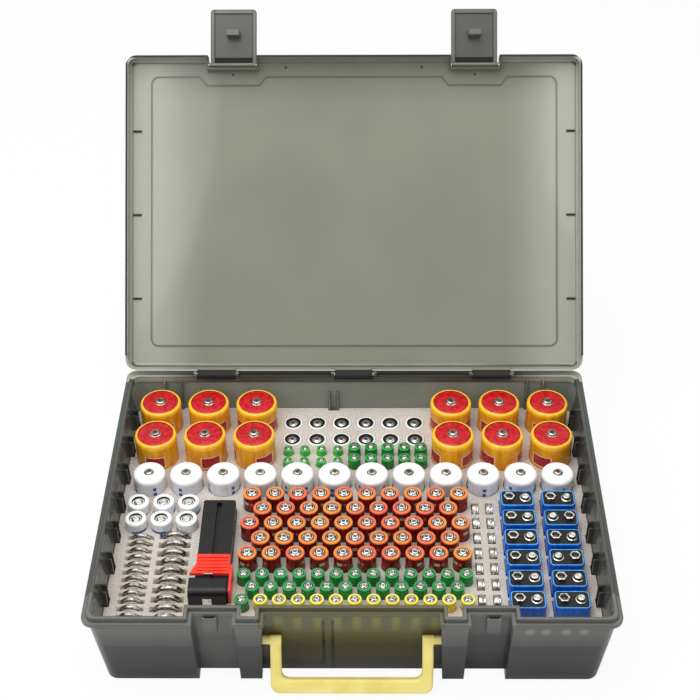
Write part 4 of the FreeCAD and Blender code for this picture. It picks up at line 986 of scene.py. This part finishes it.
# The dark steel round the waist is painted shade under the flange.
profile = [(0.0040, 0, steel), (0.0043, 0.0003, steel), (0.0042, 0.0007, steel),
           (0.0037, 0.0009, steel), (0.0033, 0.0005, dark_steel), (0.0024, 0.0005, dark_steel),
           (0.0023, rise - 0.0016, dark_steel), (0.0027, rise - 0.0012, steel)]
profile += [(r, h, steel) for r, h in arc(0.0022, rise - 0.0007, 0.0007, 0, 90)]
profile += [(0.0016, rise, steel), (0.0013, rise - 0.0003, steel), (0.0001, rise - 0.0003, steel)]
snap_studs = stacked("snap_studs", "block_cells", round_ring(32), profile,
                     stand("block_cell_studs", 0.0))
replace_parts(snap_studs, "block_cell_studs")

# %% Snap sockets
rise = rise_of("block_cell_sockets")
# Inside the cup, the dark steel and the dark ring are painted shade.
profile = [(0.0030, 0, steel), (0.0028, 0.0006, dark_steel), (0.0031, rise * 0.5, steel, 0.04, 6),
           (0.0038, rise - 0.0006, steel, 0.08, 6), (0.0040, rise - 0.0002, steel, 0.08, 6),
           (0.0037, rise, steel, 0.08, 6), (0.0031, rise, steel, 0.06, 6),
           (0.0028, rise - 0.0004, steel, 0.05, 6), (0.0023, rise * 0.45, dark_steel),
           (0.0021, rise * 0.35, dark_gap), (0.0012, rise * 0.35, dark_steel),
           (0.0001, rise * 0.4, dark_steel)]
snap_sockets = stacked("snap_sockets", "block_cells", round_ring(36), profile,
                       stand("block_cell_sockets", 0.0))
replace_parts(snap_sockets, "block_cell_sockets")

# %% [markdown]
# ## Cells on edge
# Coins stand with their faces to the front, buttons with their faces to the side. Each has a
# can with a rolled foot, a dark gasket line and a stepped cap. They are turned upright like
# the other cells, and a quarter turn then lays them on edge.

# %% Coins and buttons
FACE_FRONT = Matrix.Rotation(math.radians(90), 3, "X")
FACE_SIDE = Matrix.Rotation(math.radians(90), 3, "Y")


def on_edge(name, body, node, lie, cap_share, count=40):
    boxes = islands(node)
    span_of = boxes[0][1] - boxes[0][0]
    thick = min(span_of.x, span_of.y)
    radius = max(span_of.x, span_of.y) / 2
    soft = thick * 0.16
    profile = [(r, h, dull_steel) for r, h in arc(radius - soft, soft, soft, -90, 0)]
    profile += [(r, h, dull_steel) for r, h in arc(radius - soft, thick * 0.8 - soft, soft, 0, 90)]
    profile += [(radius * (cap_share + 0.05), thick * 0.78, dull_steel),
                (radius * (cap_share + 0.02), thick * 0.74, dark_gap),
                (radius * cap_share, thick * 0.76, dark_gap),
                (radius * cap_share, thick * 0.95, steel),
                (radius * (cap_share - 0.05), thick, steel), (0.001, thick, steel)]
    profile.insert(0, (0.001, 0, dull_steel))
    feet = [(middle(box) - lie @ Vector((0, 0, thick / 2)), number * 1.7)
            for number, box in enumerate(boxes)]
    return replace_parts(stacked(name, body, round_ring(count), profile, feet, lie), node)


on_edge("coins", "coin_cells", "coin_cells_small", FACE_FRONT, 0.84)
on_edge("wide_coins", "coin_cells", "coin_cells_large", FACE_FRONT, 0.86)
on_edge("buttons", "button_cells", "button_cells", FACE_SIDE, 0.80)

# %% [markdown]
# ## Finishes for the solids that stay
# The tray, lid, latches, handle, foam and tester have their true shape in the frame already.
# Modelling them again would only risk a mismatch with the joints, so they keep their shape
# and take the finishes made above.


# %% Carried-over nodes
def finish(name, paint):
    mesh = nodes[name].data
    mesh.materials.clear()
    mesh.materials.append(paint.material)


KEPT = {
    "base_shell": base_plastic, "lid_shell": lid_plastic, "latch_left": latch_plastic,
    "latch_right": latch_plastic, "handle": yellow, "foam_insert": foam, "hinge_pins": steel,
    "latch_pins": steel, "tester_body": black_plastic, "tester_slider": tester_red,
    "tester_jaw": black_plastic, "tester_contacts": steel,
}
for name, paint in KEPT.items():
    finish(name, paint)
print("finished", len(KEPT), "nodes")

# %% Sizes
low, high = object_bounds()
